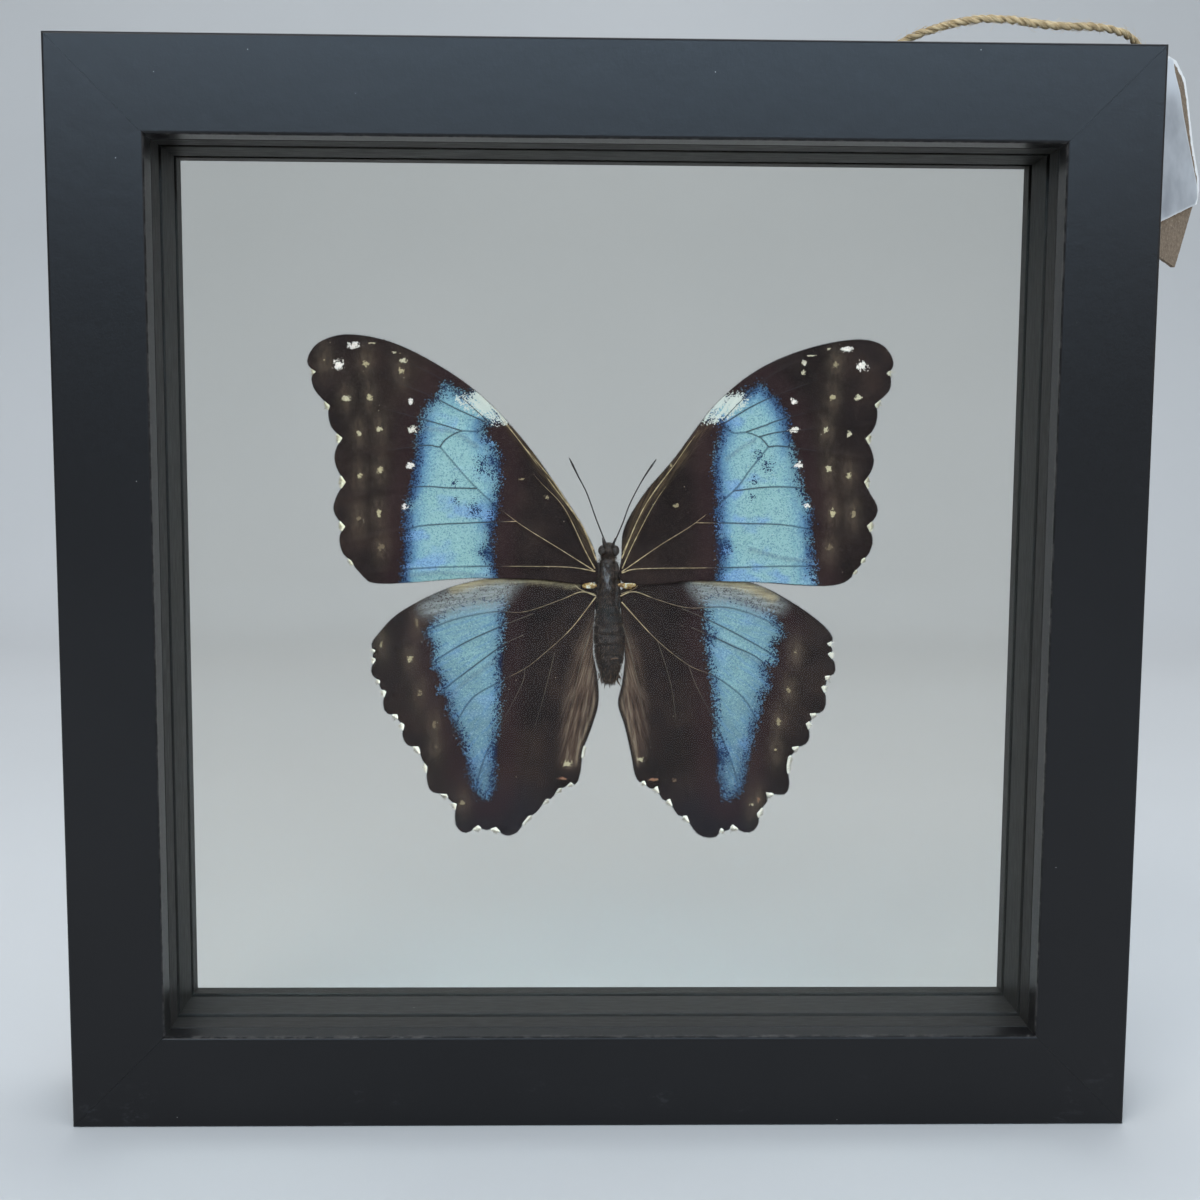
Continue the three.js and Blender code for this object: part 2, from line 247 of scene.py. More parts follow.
class Nodes:
    """Short ways to add nodes to a tree."""

    def __init__(self, tree):
        self.tree = tree

    def put(self, socket, value):
        if isinstance(value, bpy.types.NodeSocket):
            self.tree.links.new(value, socket)
        else:
            socket.default_value = value

    def node(self, kind, inputs=None, output=0, **settings):
        """Adds a node, sets or links its inputs, and returns one of its outputs."""
        made = self.tree.nodes.new(kind)
        for key, value in settings.items():
            setattr(made, key, value)
        for key, value in (inputs or {}).items():
            self.put(made.inputs[key], value)
        return made.outputs[output]

    def maths(self, operation, a, b=0.0):
        return self.node("ShaderNodeMath", {0: a, 1: b}, operation=operation)

    def times(self, a, b):
        return self.maths("MULTIPLY", a, b)

    def plus(self, a, b):
        return self.maths("ADD", a, b)

    def minus(self, a, b):
        return self.maths("SUBTRACT", a, b)

    def size(self, a):
        return self.maths("ABSOLUTE", a)

    def below(self, a, b):
        return self.maths("LESS_THAN", a, b)

    def mix(self, factor, a, b):
        """Between a and b, each a socket, an sRGB colour or a linear colour of four parts."""
        inputs = {0: factor, 6: linear(a), 7: linear(b)}
        return self.node("ShaderNodeMix", inputs, output=2, data_type="RGBA")

    def rise(self, value, low, high, least=0.0, most=1.0):
        """least below low, most above high, and smooth between. low may be the higher number."""
        limits = {"Value": value, "From Min": low, "From Max": high, "To Min": least, "To Max": most}
        return self.node("ShaderNodeMapRange", limits, interpolation_type="SMOOTHSTEP")


class Look(Nodes):
    """One material. Scales are features to the millimetre."""

    def __init__(self, name, **settings):
        self.material = bpy.data.materials.new(name)
        self.material.use_nodes = True
        super().__init__(self.material.node_tree)
        self.shader = next(n for n in self.tree.nodes if n.type == "BSDF_PRINCIPLED")
        self.output = next(n for n in self.tree.nodes if n.type == "OUTPUT_MATERIAL")
        self.set(**settings)
        where = self.node("ShaderNodeTexCoord", output="Object")
        self.mm = self.node("ShaderNodeVectorMath", {0: where, "Scale": 1 / MM}, operation="SCALE")

    def set(self, **settings):
        """Sets or links the shader's sockets, named with _ for spaces."""
        for socket, value in settings.items():
            self.put(self.shader.inputs[socket.replace("_", " ")], value)

    def done(self, shade, height=None, distance=0.0, **settings):
        """Sets the colour, raises the surface by up to distance mm, and returns the finished material."""
        self.set(Base_Color=shade, **settings)
        if height:
            inputs = {"Height": height, "Distance": distance * MM, "Strength": 1.0}
            self.set(Normal=self.node("ShaderNodeBump", inputs))
        return self.material

    def part(self, axis):
        """x, y or z in mm."""
        return self.node("ShaderNodeSeparateXYZ", {0: self.mm}, output=axis)

    def value(self, name):
        return self.node("ShaderNodeAttribute", output="Fac", attribute_name=name)

    def stretched(self, x, y, z):
        return self.node("ShaderNodeVectorMath", {0: self.mm, 1: (x, y, z)}, operation="MULTIPLY")

    def noise(self, scale, detail=2.0, roughness=0.5, where=None):
        inputs = {"Vector": where or self.mm, "Scale": scale, "Detail": detail, "Roughness": roughness}
        return self.node("ShaderNodeTexNoise", inputs)

    def cells(self, size):
        """A random number for each cell about size mm across."""
        shade = self.node("ShaderNodeTexVoronoi", {"Vector": self.mm, "Scale": 1 / size}, output="Color")
        return self.node("ShaderNodeSeparateColor", {0: shade})

    def specks(self, spacing, size, share):
        """1 in small spots of about size mm, one in each cell of spacing mm that a share of them picks."""
        voronoi = {"Vector": self.mm, "Scale": 1 / spacing}
        near = self.node("ShaderNodeTexVoronoi", voronoi, output="Distance")
        shade = self.node("ShaderNodeTexVoronoi", voronoi, output="Color")
        picked = self.below(self.node("ShaderNodeSeparateColor", {0: shade}), share)
        return self.times(self.rise(near, size / spacing, 0.4 * size / spacing), picked)

    def ramp(self, value, *stops):
        """A colour ramp of (place, colour) stops."""
        made = self.tree.nodes.new("ShaderNodeValToRGB")
        self.put(made.inputs[0], value)
        bar = made.color_ramp.elements
        while len(bar) < len(stops):
            bar.new(0.5)
        for element, (place, shade) in zip(bar, stops):
            element.position = place
            element.color = linear(shade)
        return made.outputs[0]


def black_paint():
    """Satin black, with dust on it and faint scuffs along the bottom, where the frame stands."""
    look = Look("black_paint", Specular_IOR_Level=0.26)
    cloud = look.noise(0.03, 3)
    fine = look.noise(2.2, 3, 0.6)
    base = look.mix(cloud, (17, 16, 17), (24, 23, 24))
    dust = look.specks(2.6, 0.11, 0.05)
    height = look.part(2)
    low = look.rise(height, 17, 6)
    patch = look.rise(look.noise(0.09, 2), 0.6, 0.72)
    scuffs = look.rise(look.noise(0.9, 4, 0.7, look.stretched(0.5, 1, 1.1)), 0.52, 0.64)
    scuffs = look.times(scuffs, look.times(low, patch))
    base = look.mix(look.times(scuffs, 0.07), base, (120, 120, 124))
    base = look.mix(add_arris_wear(look), base, (96, 92, 90))
    shade = look.mix(dust, base, (176, 174, 170))
    rough = look.plus(look.rise(fine, 0.2, 0.8, 0.29, 0.36), look.times(scuffs, 0.2))
    return look.done(shade, look.plus(fine, look.times(look.noise(0.3, 2), 2.5)), 0.012, Roughness=rough)


def add_arris_wear(look):
    """How worn the paint is on the front arris of the opening, in short stretches."""
    parts = [look.part(k) for k in range(3)]
    wide = look.minus(look.size(parts[0]), WIDTH / 2 - FACE)
    tall = look.size(look.minus(parts[2], HEIGHT / 2))
    tall = look.minus(tall, HEIGHT / 2 - FACE)
    away = look.size(look.maths("MAXIMUM", wide, tall))
    near = look.times(look.rise(away, 0.3, 0.05), look.rise(parts[1], FRONT + 1.6, FRONT + 0.9))
    stretches = look.rise(look.noise(0.5, 4, 0.7), 0.46, 0.62)
    return look.times(near, look.times(stretches, 0.5))


def black_strip():
    look = Look("black_strip", Specular_IOR_Level=0.35)
    grain = look.noise(1.4, 4, 0.6, look.stretched(0.15, 1, 0.15))
    base = look.mix(grain, (29, 28, 27), (48, 45, 42))
    lint = look.specks(3.4, 0.14, 0.03)
    shade = look.mix(lint, base, (200, 198, 194))
    return look.done(shade, grain, 0.03, Roughness=look.rise(grain, 0.3, 0.7, 0.5, 0.66))


def pane():
    look = Look("pane", Roughness=0.0, IOR=1.5, Transmission_Weight=1.0, Base_Color=(0.9, 0.895, 0.87, 1))
    look.set(Specular_Tint=(0.1, 0.1, 0.1, 1))
    shadow = look.node("ShaderNodeLightPath", output="Is Shadow Ray")
    clear = look.node("ShaderNodeBsdfTransparent", {0: (0.93, 0.95, 0.945, 1)})
    both = look.node("ShaderNodeMixShader", {0: shadow, 1: look.shader.outputs[0], 2: clear})
    look.put(look.output.inputs["Surface"], both)
    return look.material


def add_ground(look, dither, ragged, streak):
    """The brown-black ground with its brown clouds, pale inner margin and streaked front edge."""
    wide = look.noise(0.13, 2)
    dark = look.ramp(wide, (0.3, (23, 15, 14)), (0.5, (33, 23, 21)), (0.72, (45, 32, 27)))
    ground = look.mix(look.value("tail"), dark, (28, 24, 29))
    maroon = look.times(look.rise(look.value("band"), -7, -2), look.rise(look.value("band"), 1, -1))
    ground = look.mix(look.times(maroon, 0.55), ground, (46, 27, 28))
    smear = look.rise(look.noise(0.8, 3, 0.6, look.stretched(1.4, 1, 0.6)), 0.3, 0.7, 0.35, 1.0)
    ground = look.mix(look.times(look.value("halo"), smear), ground, (96, 80, 64))
    inner = look.rise(look.plus(look.value("inner"), ragged), -1.2, 3.4, 0, 0.9)
    pale = look.ramp(streak, (0.3, (40, 28, 23)), (0.5, (82, 62, 49)), (0.7, (128, 108, 90)))
    ground = look.mix(inner, ground, pale)
    fold = look.times(look.value("fold"), look.rise(streak, 0.3, 0.7, 0.25, 0.7))
    ground = look.mix(fold, ground, (148, 126, 104))
    ground = look.mix(look.times(look.value("rim"), 0.85), ground, (30, 21, 18))
    gold = look.times(look.value("costal"), look.rise(streak, 0.42, 0.64, 0.1, 0.7))
    ground = look.mix(gold, ground, (88, 70, 48))
    return look.mix(look.rise(dither, 0.55, 1.0, 0, 0.16), ground, (96, 80, 70))


def add_front_margin(look, shade, dither, ragged, streak):
    """The hindwing's grey dusting, which the band fades into, and its tan front edge."""
    grey = look.rise(look.plus(look.value("grey"), look.times(ragged, 0.5)), -2.6, 2.2, 0, 1.0)
    grey = look.times(grey, look.rise(dither, 0.85, 0.6, 0.25, 0.97))
    dusting = look.ramp(streak, (0.3, (104, 102, 96)), (0.7, (150, 150, 146)))
    shade = look.mix(grey, shade, dusting)
    tan = look.ramp(streak, (0.3, (112, 94, 70)), (0.7, (178, 160, 124)))
    return look.mix(look.rise(look.plus(look.value("tan"), ragged), -0.9, 1.1, 0, 0.85), shade, tan)


def add_band(look, ground, dither, ragged, scale, streak):
    """The blue band: thin and dull at its rims, pale cyan with violet and green patches inside, and worn,
    with painted shade along its creases and painted glints on single scales.
    """
    edge = look.plus(look.value("band"), ragged)
    worn = look.value("worn")
    cover = look.minus(look.rise(edge, -1.9, 2.9), look.times(worn, 0.5))
    blue = look.ramp(
        look.rise(look.minus(edge, look.times(worn, 1.6)), -1.0, 6.0),
        (0.0, (40, 58, 88)),
        (0.2, (64, 88, 114)),
        (0.42, (94, 126, 146)),
        (0.68, (120, 152, 158)),
        (1.0, (136, 165, 161)),
    )
    violet = look.rise(look.noise(0.15, 2, 0.5, look.stretched(1, 1, 1.5)), 0.54, 0.7, 0, 0.7)
    blue = look.mix(violet, blue, (114, 142, 180))
    green = look.rise(look.noise(0.11, 2, 0.5, look.stretched(1.3, 1, 1)), 0.46, 0.62, 0, 0.5)
    blue = look.mix(green, blue, (132, 162, 154))
    muted = look.rise(look.noise(0.2, 3), 0.3, 0.7, 0.45, 0.85)
    far_out = look.mix(look.rise(look.value("reach"), 34, 50), (112, 138, 140), (80, 98, 106))
    blue = look.mix(look.times(look.value("muted"), muted), blue, far_out)
    rays = look.times(look.value("muted"), look.rise(streak, 0.5, 0.62, 0, 0.4))
    blue = look.mix(rays, blue, (88, 122, 156))
    # Painted shade: the blue is greyed and darkened along the creases, where the folds lie in shade.
    blue = look.mix(look.rise(look.value("crease"), 0.0, 1.0, 0, 0.55), blue, (102, 120, 126))
    blue = look.mix(look.rise(scale, 0.0, 0.5, 0.5, 0.0), blue, (50, 84, 112))
    # Painted highlight: glints lighten the brightest few scales.
    blue = look.mix(look.rise(scale, 0.8, 1.0, 0.0, 0.3), blue, (170, 188, 186))
    blue = look.mix(look.rise(look.value("vein"), 0.3, 0.1, 0, 0.7), blue, (46, 66, 82))
    between = look.mix(look.rise(edge, -0.6, 1.2), ground, (26, 42, 70))
    banded = look.below(dither, cover)
    return look.mix(banded, between, blue), banded


def wing_upper():
    """Brown-black scales with the blue band, cream spots and pale dusting, from the wing's own values."""
    look = Look("wing_upper", Specular_IOR_Level=0.09, Sheen_Weight=0.03, Sheen_Roughness=0.4)
    scale, clump = look.cells(0.22), look.cells(0.5)
    ragged = look.times(look.minus(look.noise(1.3, 3), 0.5), 1.3)
    dither = look.plus(look.times(scale, 0.8), look.times(clump, 0.2))
    rays = {0: look.times(look.value("ray"), 46.0), 2: look.times(look.value("reach"), 0.16)}
    streak = look.noise(1.0, 3, 0.6, look.node("ShaderNodeCombineXYZ", rays))
    ground = add_ground(look, dither, ragged, streak)
    shade, banded = add_band(look, ground, dither, ragged, scale, streak)
    shade = add_front_margin(look, shade, dither, ragged, streak)

    white = look.rise(look.plus(look.value("white"), look.times(ragged, 1.2)), -0.8, 2.2)
    white = look.times(white, look.rise(streak, 0.3, 0.62, 0.3, 1.0))
    white = look.below(look.times(dither, 0.85), white)
    shade = look.mix(white, shade, look.mix(streak, (164, 168, 162), (204, 198, 180)))
    ragged_spot = look.times(look.minus(look.noise(1.5, 3, 0.65), 0.5), 2.6)
    spot = look.plus(look.value("spot"), ragged_spot)
    spot = look.below(look.times(dither, 0.6), spot)
    cream = look.ramp(
        look.value("tone"),
        (0.0, (150, 104, 78)),
        (0.18, (92, 74, 56)),
        (0.45, (178, 160, 122)),
        (0.65, (206, 192, 162)),
        (1.0, (232, 216, 202)),
    )
    shade = look.mix(spot, shade, look.mix(look.rise(scale, 0, 0.6, 0.4, 0), cream, (120, 104, 86)))
    fleck = look.specks(1.7, 0.14, 0.2)
    shade = look.mix(look.times(fleck, 0.55), shade, (190, 176, 152))
    rough = look.mix(banded, (0.72, 0.72, 0.72, 1), (0.46, 0.46, 0.46, 1))
    return look.done(shade, look.plus(scale, look.noise(1.6, 2)), 0.012, Roughness=rough)


def wing_under():
    """Brown underside with cream lines and rows of eyespots."""
    look = Look("wing_under", Roughness=0.7, Specular_IOR_Level=0.2)
    scale, cloud = look.cells(0.17), look.noise(0.8, 3)
    ragged = look.times(look.minus(cloud, 0.5), 0.5)
    ground = look.ramp(look.noise(0.16, 3), (0.3, (70, 54, 42)), (0.6, (100, 80, 62)), (0.8, (124, 104, 84)))
    ground = look.mix(look.rise(scale, 0.3, 1.0, 0, 0.25), ground, (142, 122, 98))
    line = look.rise(look.plus(look.value("line"), ragged), 0.0, 0.5)
    ground = look.mix(look.rise(look.value("line"), -1.4, 0.2, 0, 0.6), ground, (46, 35, 28))
    ground = look.mix(line, ground, (206, 192, 158))
    eye = look.ramp(
        look.plus(look.times(look.value("eye"), 0.8), look.times(ragged, 0.06)),
        (0.0, (226, 226, 220)),
        (0.09, (214, 210, 200)),
        (0.14, (20, 16, 16)),
        (0.42, (26, 20, 18)),
        (0.48, (176, 140, 66)),
        (0.62, (168, 128, 60)),
        (0.68, (44, 32, 26)),
        (0.78, (60, 44, 34)),
    )
    shade = look.mix(look.rise(look.value("eye"), 1.02, 0.96), ground, eye)
    return look.done(shade, look.plus(scale, cloud), 0.03)


def wing_vein():
    look = Look("wing_vein", Roughness=0.5, Specular_IOR_Level=0.3)
    pale = look.ramp(look.noise(0.9, 3), (0.3, (118, 96, 68)), (0.7, (196, 170, 128)))
    return look.done(look.mix(look.value("pale"), (34, 30, 30), pale), look.noise(4, 2), 0.02)


def wing_fringe():
    look = Look("wing_fringe", Roughness=0.75, Specular_IOR_Level=0.2)
    cream = look.mix(look.cells(0.2), (216, 200, 164), (244, 234, 208))
    cream = look.mix(look.value("cold"), cream, (244, 232, 212))
    return look.done(look.mix(look.value("pale"), (34, 27, 26), cream))


def fibre(name, dark, light, roughness=0.6):
    """Hair or thread that varies from one to the next."""
    look = Look(name, Roughness=roughness, Specular_IOR_Level=0.3)
    shade = look.plus(look.value("shade"), look.times(look.noise(0.8, 2), 0.3))
    return look.done(look.mix(shade, dark, light), look.noise(6, 2), 0.02)


def body_skin():
    """Dark brown, shining skin with pale specks, and a painted sheen: a grey highlight painted along the
    thorax.
    """
    look = Look("body_skin", Specular_IOR_Level=0.3)
    cloud = look.noise(0.9, 4, 0.65)
    fine = look.noise(2.6, 4, 0.7)
    base = look.ramp(cloud, (0.3, (18, 13, 11)), (0.52, (42, 32, 27)), (0.75, (88, 70, 59)))
    base = look.mix(look.rise(look.value("joint"), 0.3, 1.0, 0, 0.75), base, (20, 16, 15))
    across = look.size(look.minus(look.part(0), 0.8))
    height = look.part(2)
    # Painted sheen: a grey highlight, streaked along the middle of the thorax, put into the skin's colour.
    painted_sheen = look.times(look.rise(across, 1.3, 0.3), look.rise(height, 110, 112))
    painted_sheen = look.times(painted_sheen, look.rise(height, 118, 116.5))
    waist = look.times(look.rise(height, 103.2, 105), look.rise(height, 109.4, 107.4))
    base = look.mix(look.times(waist, 0.7), base, (16, 12, 11))
    streaks = look.rise(look.noise(1.6, 3, 0.6, look.stretched(1, 1, 0.3)), 0.42, 0.62)
    base = look.mix(look.times(painted_sheen, streaks), base, (122, 120, 122))
    shade = look.mix(look.specks(1.2, 0.15, 0.16), base, (160, 148, 128))
    return look.done(shade, look.plus(fine, cloud), 0.16, Roughness=look.rise(fine, 0.35, 0.65, 0.28, 0.7))


def insect_eye():
    look = Look("insect_eye", Roughness=0.22, Specular_IOR_Level=0.6)
    facets = look.node("ShaderNodeTexVoronoi", {"Vector": look.mm, "Scale": 9.0}, output="Distance")
    return look.done(look.mix(look.noise(1.2, 2), (14, 10, 9), (44, 28, 20)), facets, 0.03)


def chitin():
    look = Look("chitin", Roughness=0.42)
    bands = look.noise(3.0, 2)
    return look.done(look.ramp(bands, (0.3, (16, 12, 10)), (0.7, (44, 32, 24))), bands, 0.02)


def amber_glue_painted_gleams():
    look = Look("amber_glue_painted_gleams", Roughness=0.08, IOR=1.48, Transmission_Weight=0.3)
    look.set(Coat_Weight=0.6, Coat_Roughness=0.04)
    cloud = look.noise(0.9, 3)
    # Amber glue with painted highlights: the ramp's white end puts glossy gleams into its colour.
    shade = look.ramp(cloud, (0.38, (118, 82, 38)), (0.52, (186, 150, 88)), (0.64, (232, 236, 224)))
    return look.done(shade, look.noise(1.1, 2), 0.12)


def rough_card():
    look = Look("rough_card", Roughness=0.85, Specular_IOR_Level=0.2)
    pulp = look.noise(1.6, 5, 0.65)
    fibres = look.noise(0.8, 3, 0.7, look.stretched(0.5, 1, 3))
    base = look.ramp(pulp, (0.3, (104, 88, 74)), (0.7, (146, 128, 108)))
    base = look.mix(look.rise(fibres, 0.6, 0.75, 0, 0.5), base, (186, 172, 150))
    torn = look.plus(look.value("edge"), look.times(look.noise(0.9, 3), 0.9))
    torn = look.times(look.rise(torn, 0.62, 0.82), look.value("torn"))
    return look.done(look.mix(torn, base, (232, 230, 226)), pulp, 0.08)


def label_paper():
    look = Look("label_paper", Roughness=0.36, Specular_IOR_Level=0.45)
    cloud = look.noise(0.12, 3)
    shade = look.ramp(cloud, (0.3, (146, 147, 150)), (0.7, (186, 187, 188)))
    height = look.part(2)
    # Painted highlight: the label is lighter towards its top, where it curls.
    shade = look.mix(look.rise(height, 211, 217, 0, 0.7), shade, (222, 224, 226))
    # Painted highlight: a light rim along the label's edges.
    shade = look.mix(look.rise(look.value("edge"), 0.6, 1.0, 0, 0.6), shade, (222, 222, 220))
    return look.done(shade, look.noise(1.2, 3), 0.015)


def staple_wire():
    look = Look("staple_wire", Metallic=1.0)
    drawn = look.noise(2.0, 3, 0.6, look.stretched(0.2, 1, 1))
    shade = look.mix(drawn, (150, 152, 156), (196, 197, 200))
    return look.done(shade, Roughness=look.rise(drawn, 0.3, 0.7, 0.28, 0.45))


def studio_floor():
    look = Look("studio_floor", Roughness=0.75, Specular_IOR_Level=0.2)
    return look.done(look.mix(look.noise(0.004, 2), (202, 203, 202), (211, 211, 210)))


# ------------------------------------------------------------------ twine

PLY_RADIUS = 0.42
PLY_OFFSET = 0.34
LAY_LENGTH = 4.6  # mm for one turn of the plies
SURFACE_FIBRES = 230
LOOSE_ENDS = 130
FRAYED_FIBRES = 40
KNOT_AT = TWINE_ROUTE[-1]


def add_plies(shape, path, rng):
    """Two fibrous plies twisted round the path."""
    a, b = frames(path)
    travelled = along(path)
    for ply in range(2):
        turn = 2 * math.pi * (travelled / LAY_LENGTH + ply / 2)
        swell = 1 + 0.1 * np.sin(travelled * 0.9 + 3 * ply) + rng.normal(0, 0.02, len(path))
        centre = path + PLY_OFFSET * (np.cos(turn)[:, None] * a + np.sin(turn)[:, None] * b)
        shape.tube(centre, PLY_RADIUS * swell, sides=10, shade=0.35 + 0.2 * np.sin(travelled * 1.7 + ply))


def add_strands(shape, path, rng):
    """Fine surface fibres that follow the twist, and loose ends that stand off it."""
    a, b = frames(path)
    travelled = along(path)
    for _ in range(SURFACE_FIBRES):
        start = rng.integers(0, len(path) - 30)
        part = slice(start, start + rng.integers(12, 30))
        turns = travelled[part] / LAY_LENGTH * rng.uniform(0.7, 1.1)
        turn = 2 * math.pi * turns + rng.uniform(0, 2 * math.pi)
        away = rng.uniform(0.62, 0.78) + np.linspace(0, 1, len(turn)) ** 3 * rng.uniform(-0.1, 0.5)
        out = np.cos(turn)[:, None] * a[part] + np.sin(turn)[:, None] * b[part]
        line = path[part] + away[:, None] * out
        shape.tube(line, np.linspace(0.07, 0.03, len(line)), sides=3, shade=rng.uniform(0.2, 1.0))
    for _ in range(LOOSE_ENDS):
        at = rng.integers(4, len(path) - 4)
        turn = rng.uniform(0, 2 * math.pi)
        out = math.cos(turn) * a[at] + math.sin(turn) * b[at]
        lean = (path[at + 3] - path[at - 3]) * rng.choice([-1, 1])
        reach = rng.uniform(0.4, 1.5)
        bend = path[at] + 0.6 * out + lean * 0.4 + out * reach * 0.5
        tip = bend + out * reach * 0.5 + lean * rng.uniform(0.2, 1.4) + rng.normal(0, 0.25, 3)
        line = smooth([path[at] + 0.4 * out, bend, tip], 0.4)
        shape.tube(line, 0.022, sides=3, shade=rng.uniform(0.5, 1.0))


def add_frayed_end(shape, end, rng):
    """The short brush of fibres at the twine's cut end, below the staple."""
    for _ in range(FRAYED_FIBRES):
        root = end + rng.normal(0, 0.28, 3) * [1, 0.8, 0.3]
        tip = root + [rng.normal(0, 0.35), rng.uniform(-0.25, 0.4), -rng.uniform(0.5, 1.7)]
        shape.spike(root, tip, rng.uniform(0.03, 0.08), shade=rng.uniform(0.3, 1))


def make_twine(jute):
    rng = np.random.default_rng(11)
    path = smooth(TWINE_ROUTE, 0.25)
    shape = Shape()
    add_plies(shape, path, rng)
    add_strands(shape, path, rng)
    add_frayed_end(shape, path[0], rng)
    twine = ride(shape.make("jute_twine", [jute]), "jute", "twine")
    return twine, path


# ------------------------------------------------------------------ frame and glass

EDGE_RADIUS = 0.6  # of the moulding's outer edges
LIP_RADIUS = 0.25  # of the lip's edge in the opening
STRIP_RADIUS = 0.2
LIP = 5.5  # how thick the lip is
WALL = 12.3  # how thick the outer wall is
FIT_GAP = 0.3  # between the wall and a strip
MITRE_GAP = 0.02
SMOOTHER_THAN = 35  # degrees: a bar's flatter edges are shaded smooth


def arc(across, deep, start, radius=EDGE_RADIUS, steps=6):
    """A quarter circle of a section, from an angle in degrees on."""
    turns = [math.radians(start + 90 * i / steps) for i in range(steps + 1)]
    return [(across + radius * math.cos(t), deep + radius * math.sin(t)) for t in turns]


def rail_section():
    """The moulding's section as [across, deep], across from the frame's outer edge."""
    return [
        *arc(EDGE_RADIUS, EDGE_RADIUS, 180),
        *arc(FACE - EDGE_RADIUS, EDGE_RADIUS, 270),
        *arc(FACE - LIP_RADIUS, LIP - LIP_RADIUS, 0, LIP_RADIUS, 3),
        (WALL, LIP),
        (WALL, DEPTH),
        *arc(EDGE_RADIUS, DEPTH - EDGE_RADIUS, 90),
    ]


def strip_section(node, side):
    """A strip's section as its CAD box has it, with its two edges in the opening slightly rounded."""
    low, high = box_mm(f"{node}_{side}")
    across = FACE - STRIP_RADIUS
    return [
        (WALL + FIT_GAP, low.y),
        *arc(across, low.y + STRIP_RADIUS, 270, STRIP_RADIUS, 3),
        *arc(across, high.y - STRIP_RADIUS, 0, STRIP_RADIUS, 3),
        (WALL + FIT_GAP, high.y),
    ]


SIDES = {
    "bottom": (WIDTH, 0, (0, 0)),
    "top": (WIDTH, math.pi, (0, HEIGHT)),
    "left": (HEIGHT, math.pi / 2, (-WIDTH / 2, HEIGHT / 2)),
    "right": (HEIGHT, -math.pi / 2, (WIDTH / 2, HEIGHT / 2)),
}


def make_bar(name, section, side, look, slot, node):
    """A mitred bar along one side of the frame."""
    length, turn, (x, z) = SIDES[side]
    shape = Shape()
    across, deep = np.array(section).T
    cuts = np.linspace(-1, 1, 13)
    rows = [np.stack([cut * (length / 2 - across - MITRE_GAP), deep, across], 1) for cut in cuts]
    points = np.concatenate(rows)
    turned = points.copy()
    turned[:, 0] = x + points[:, 0] * math.cos(turn) + points[:, 2] * math.sin(turn)
    turned[:, 2] = z - points[:, 0] * math.sin(turn) + points[:, 2] * math.cos(turn)
    shape.add(turned, [face[::-1] for face in lofted(len(cuts), len(section))])
    bar = shape.make(name, [look], crease=SMOOTHER_THAN)
    bar.modifiers.new("even shading", "WEIGHTED_NORMAL").keep_sharp = True
    return ride(bar, slot, node)


def make_frame():
    """Moulding, strips and spacers as mitred bars. The panes are the CAD's own, made clear."""
    paint, strip = black_paint(), black_strip()
    for side in SIDES:
        make_bar(f"moulding_{side}", rail_section(), side, paint, "black_paint", f"rail_{side}")
        for node in ("front_strip", "spacer", "rear_strip"):
            section = strip_section(node, side)
            make_bar(f"{node}_bar_{side}", section, side, strip, "black_strip", f"{node}_{side}")
    clear = pane()
    for node in ("front_glass", "back_glass"):
        NODES[node].data.materials.clear()
        NODES[node].data.materials.append(clear)


# ------------------------------------------------------------------ the wings' markings

# Places on the wings are [x, z] in mm. A spot is x, z, half width, half height and tone, from 0, brown, to 1,
# warm white. A worn place is x, z and radius. A tail is the darker patch at the hindwing's lower end, as an
# ellipse.
BODY_X = 1.1

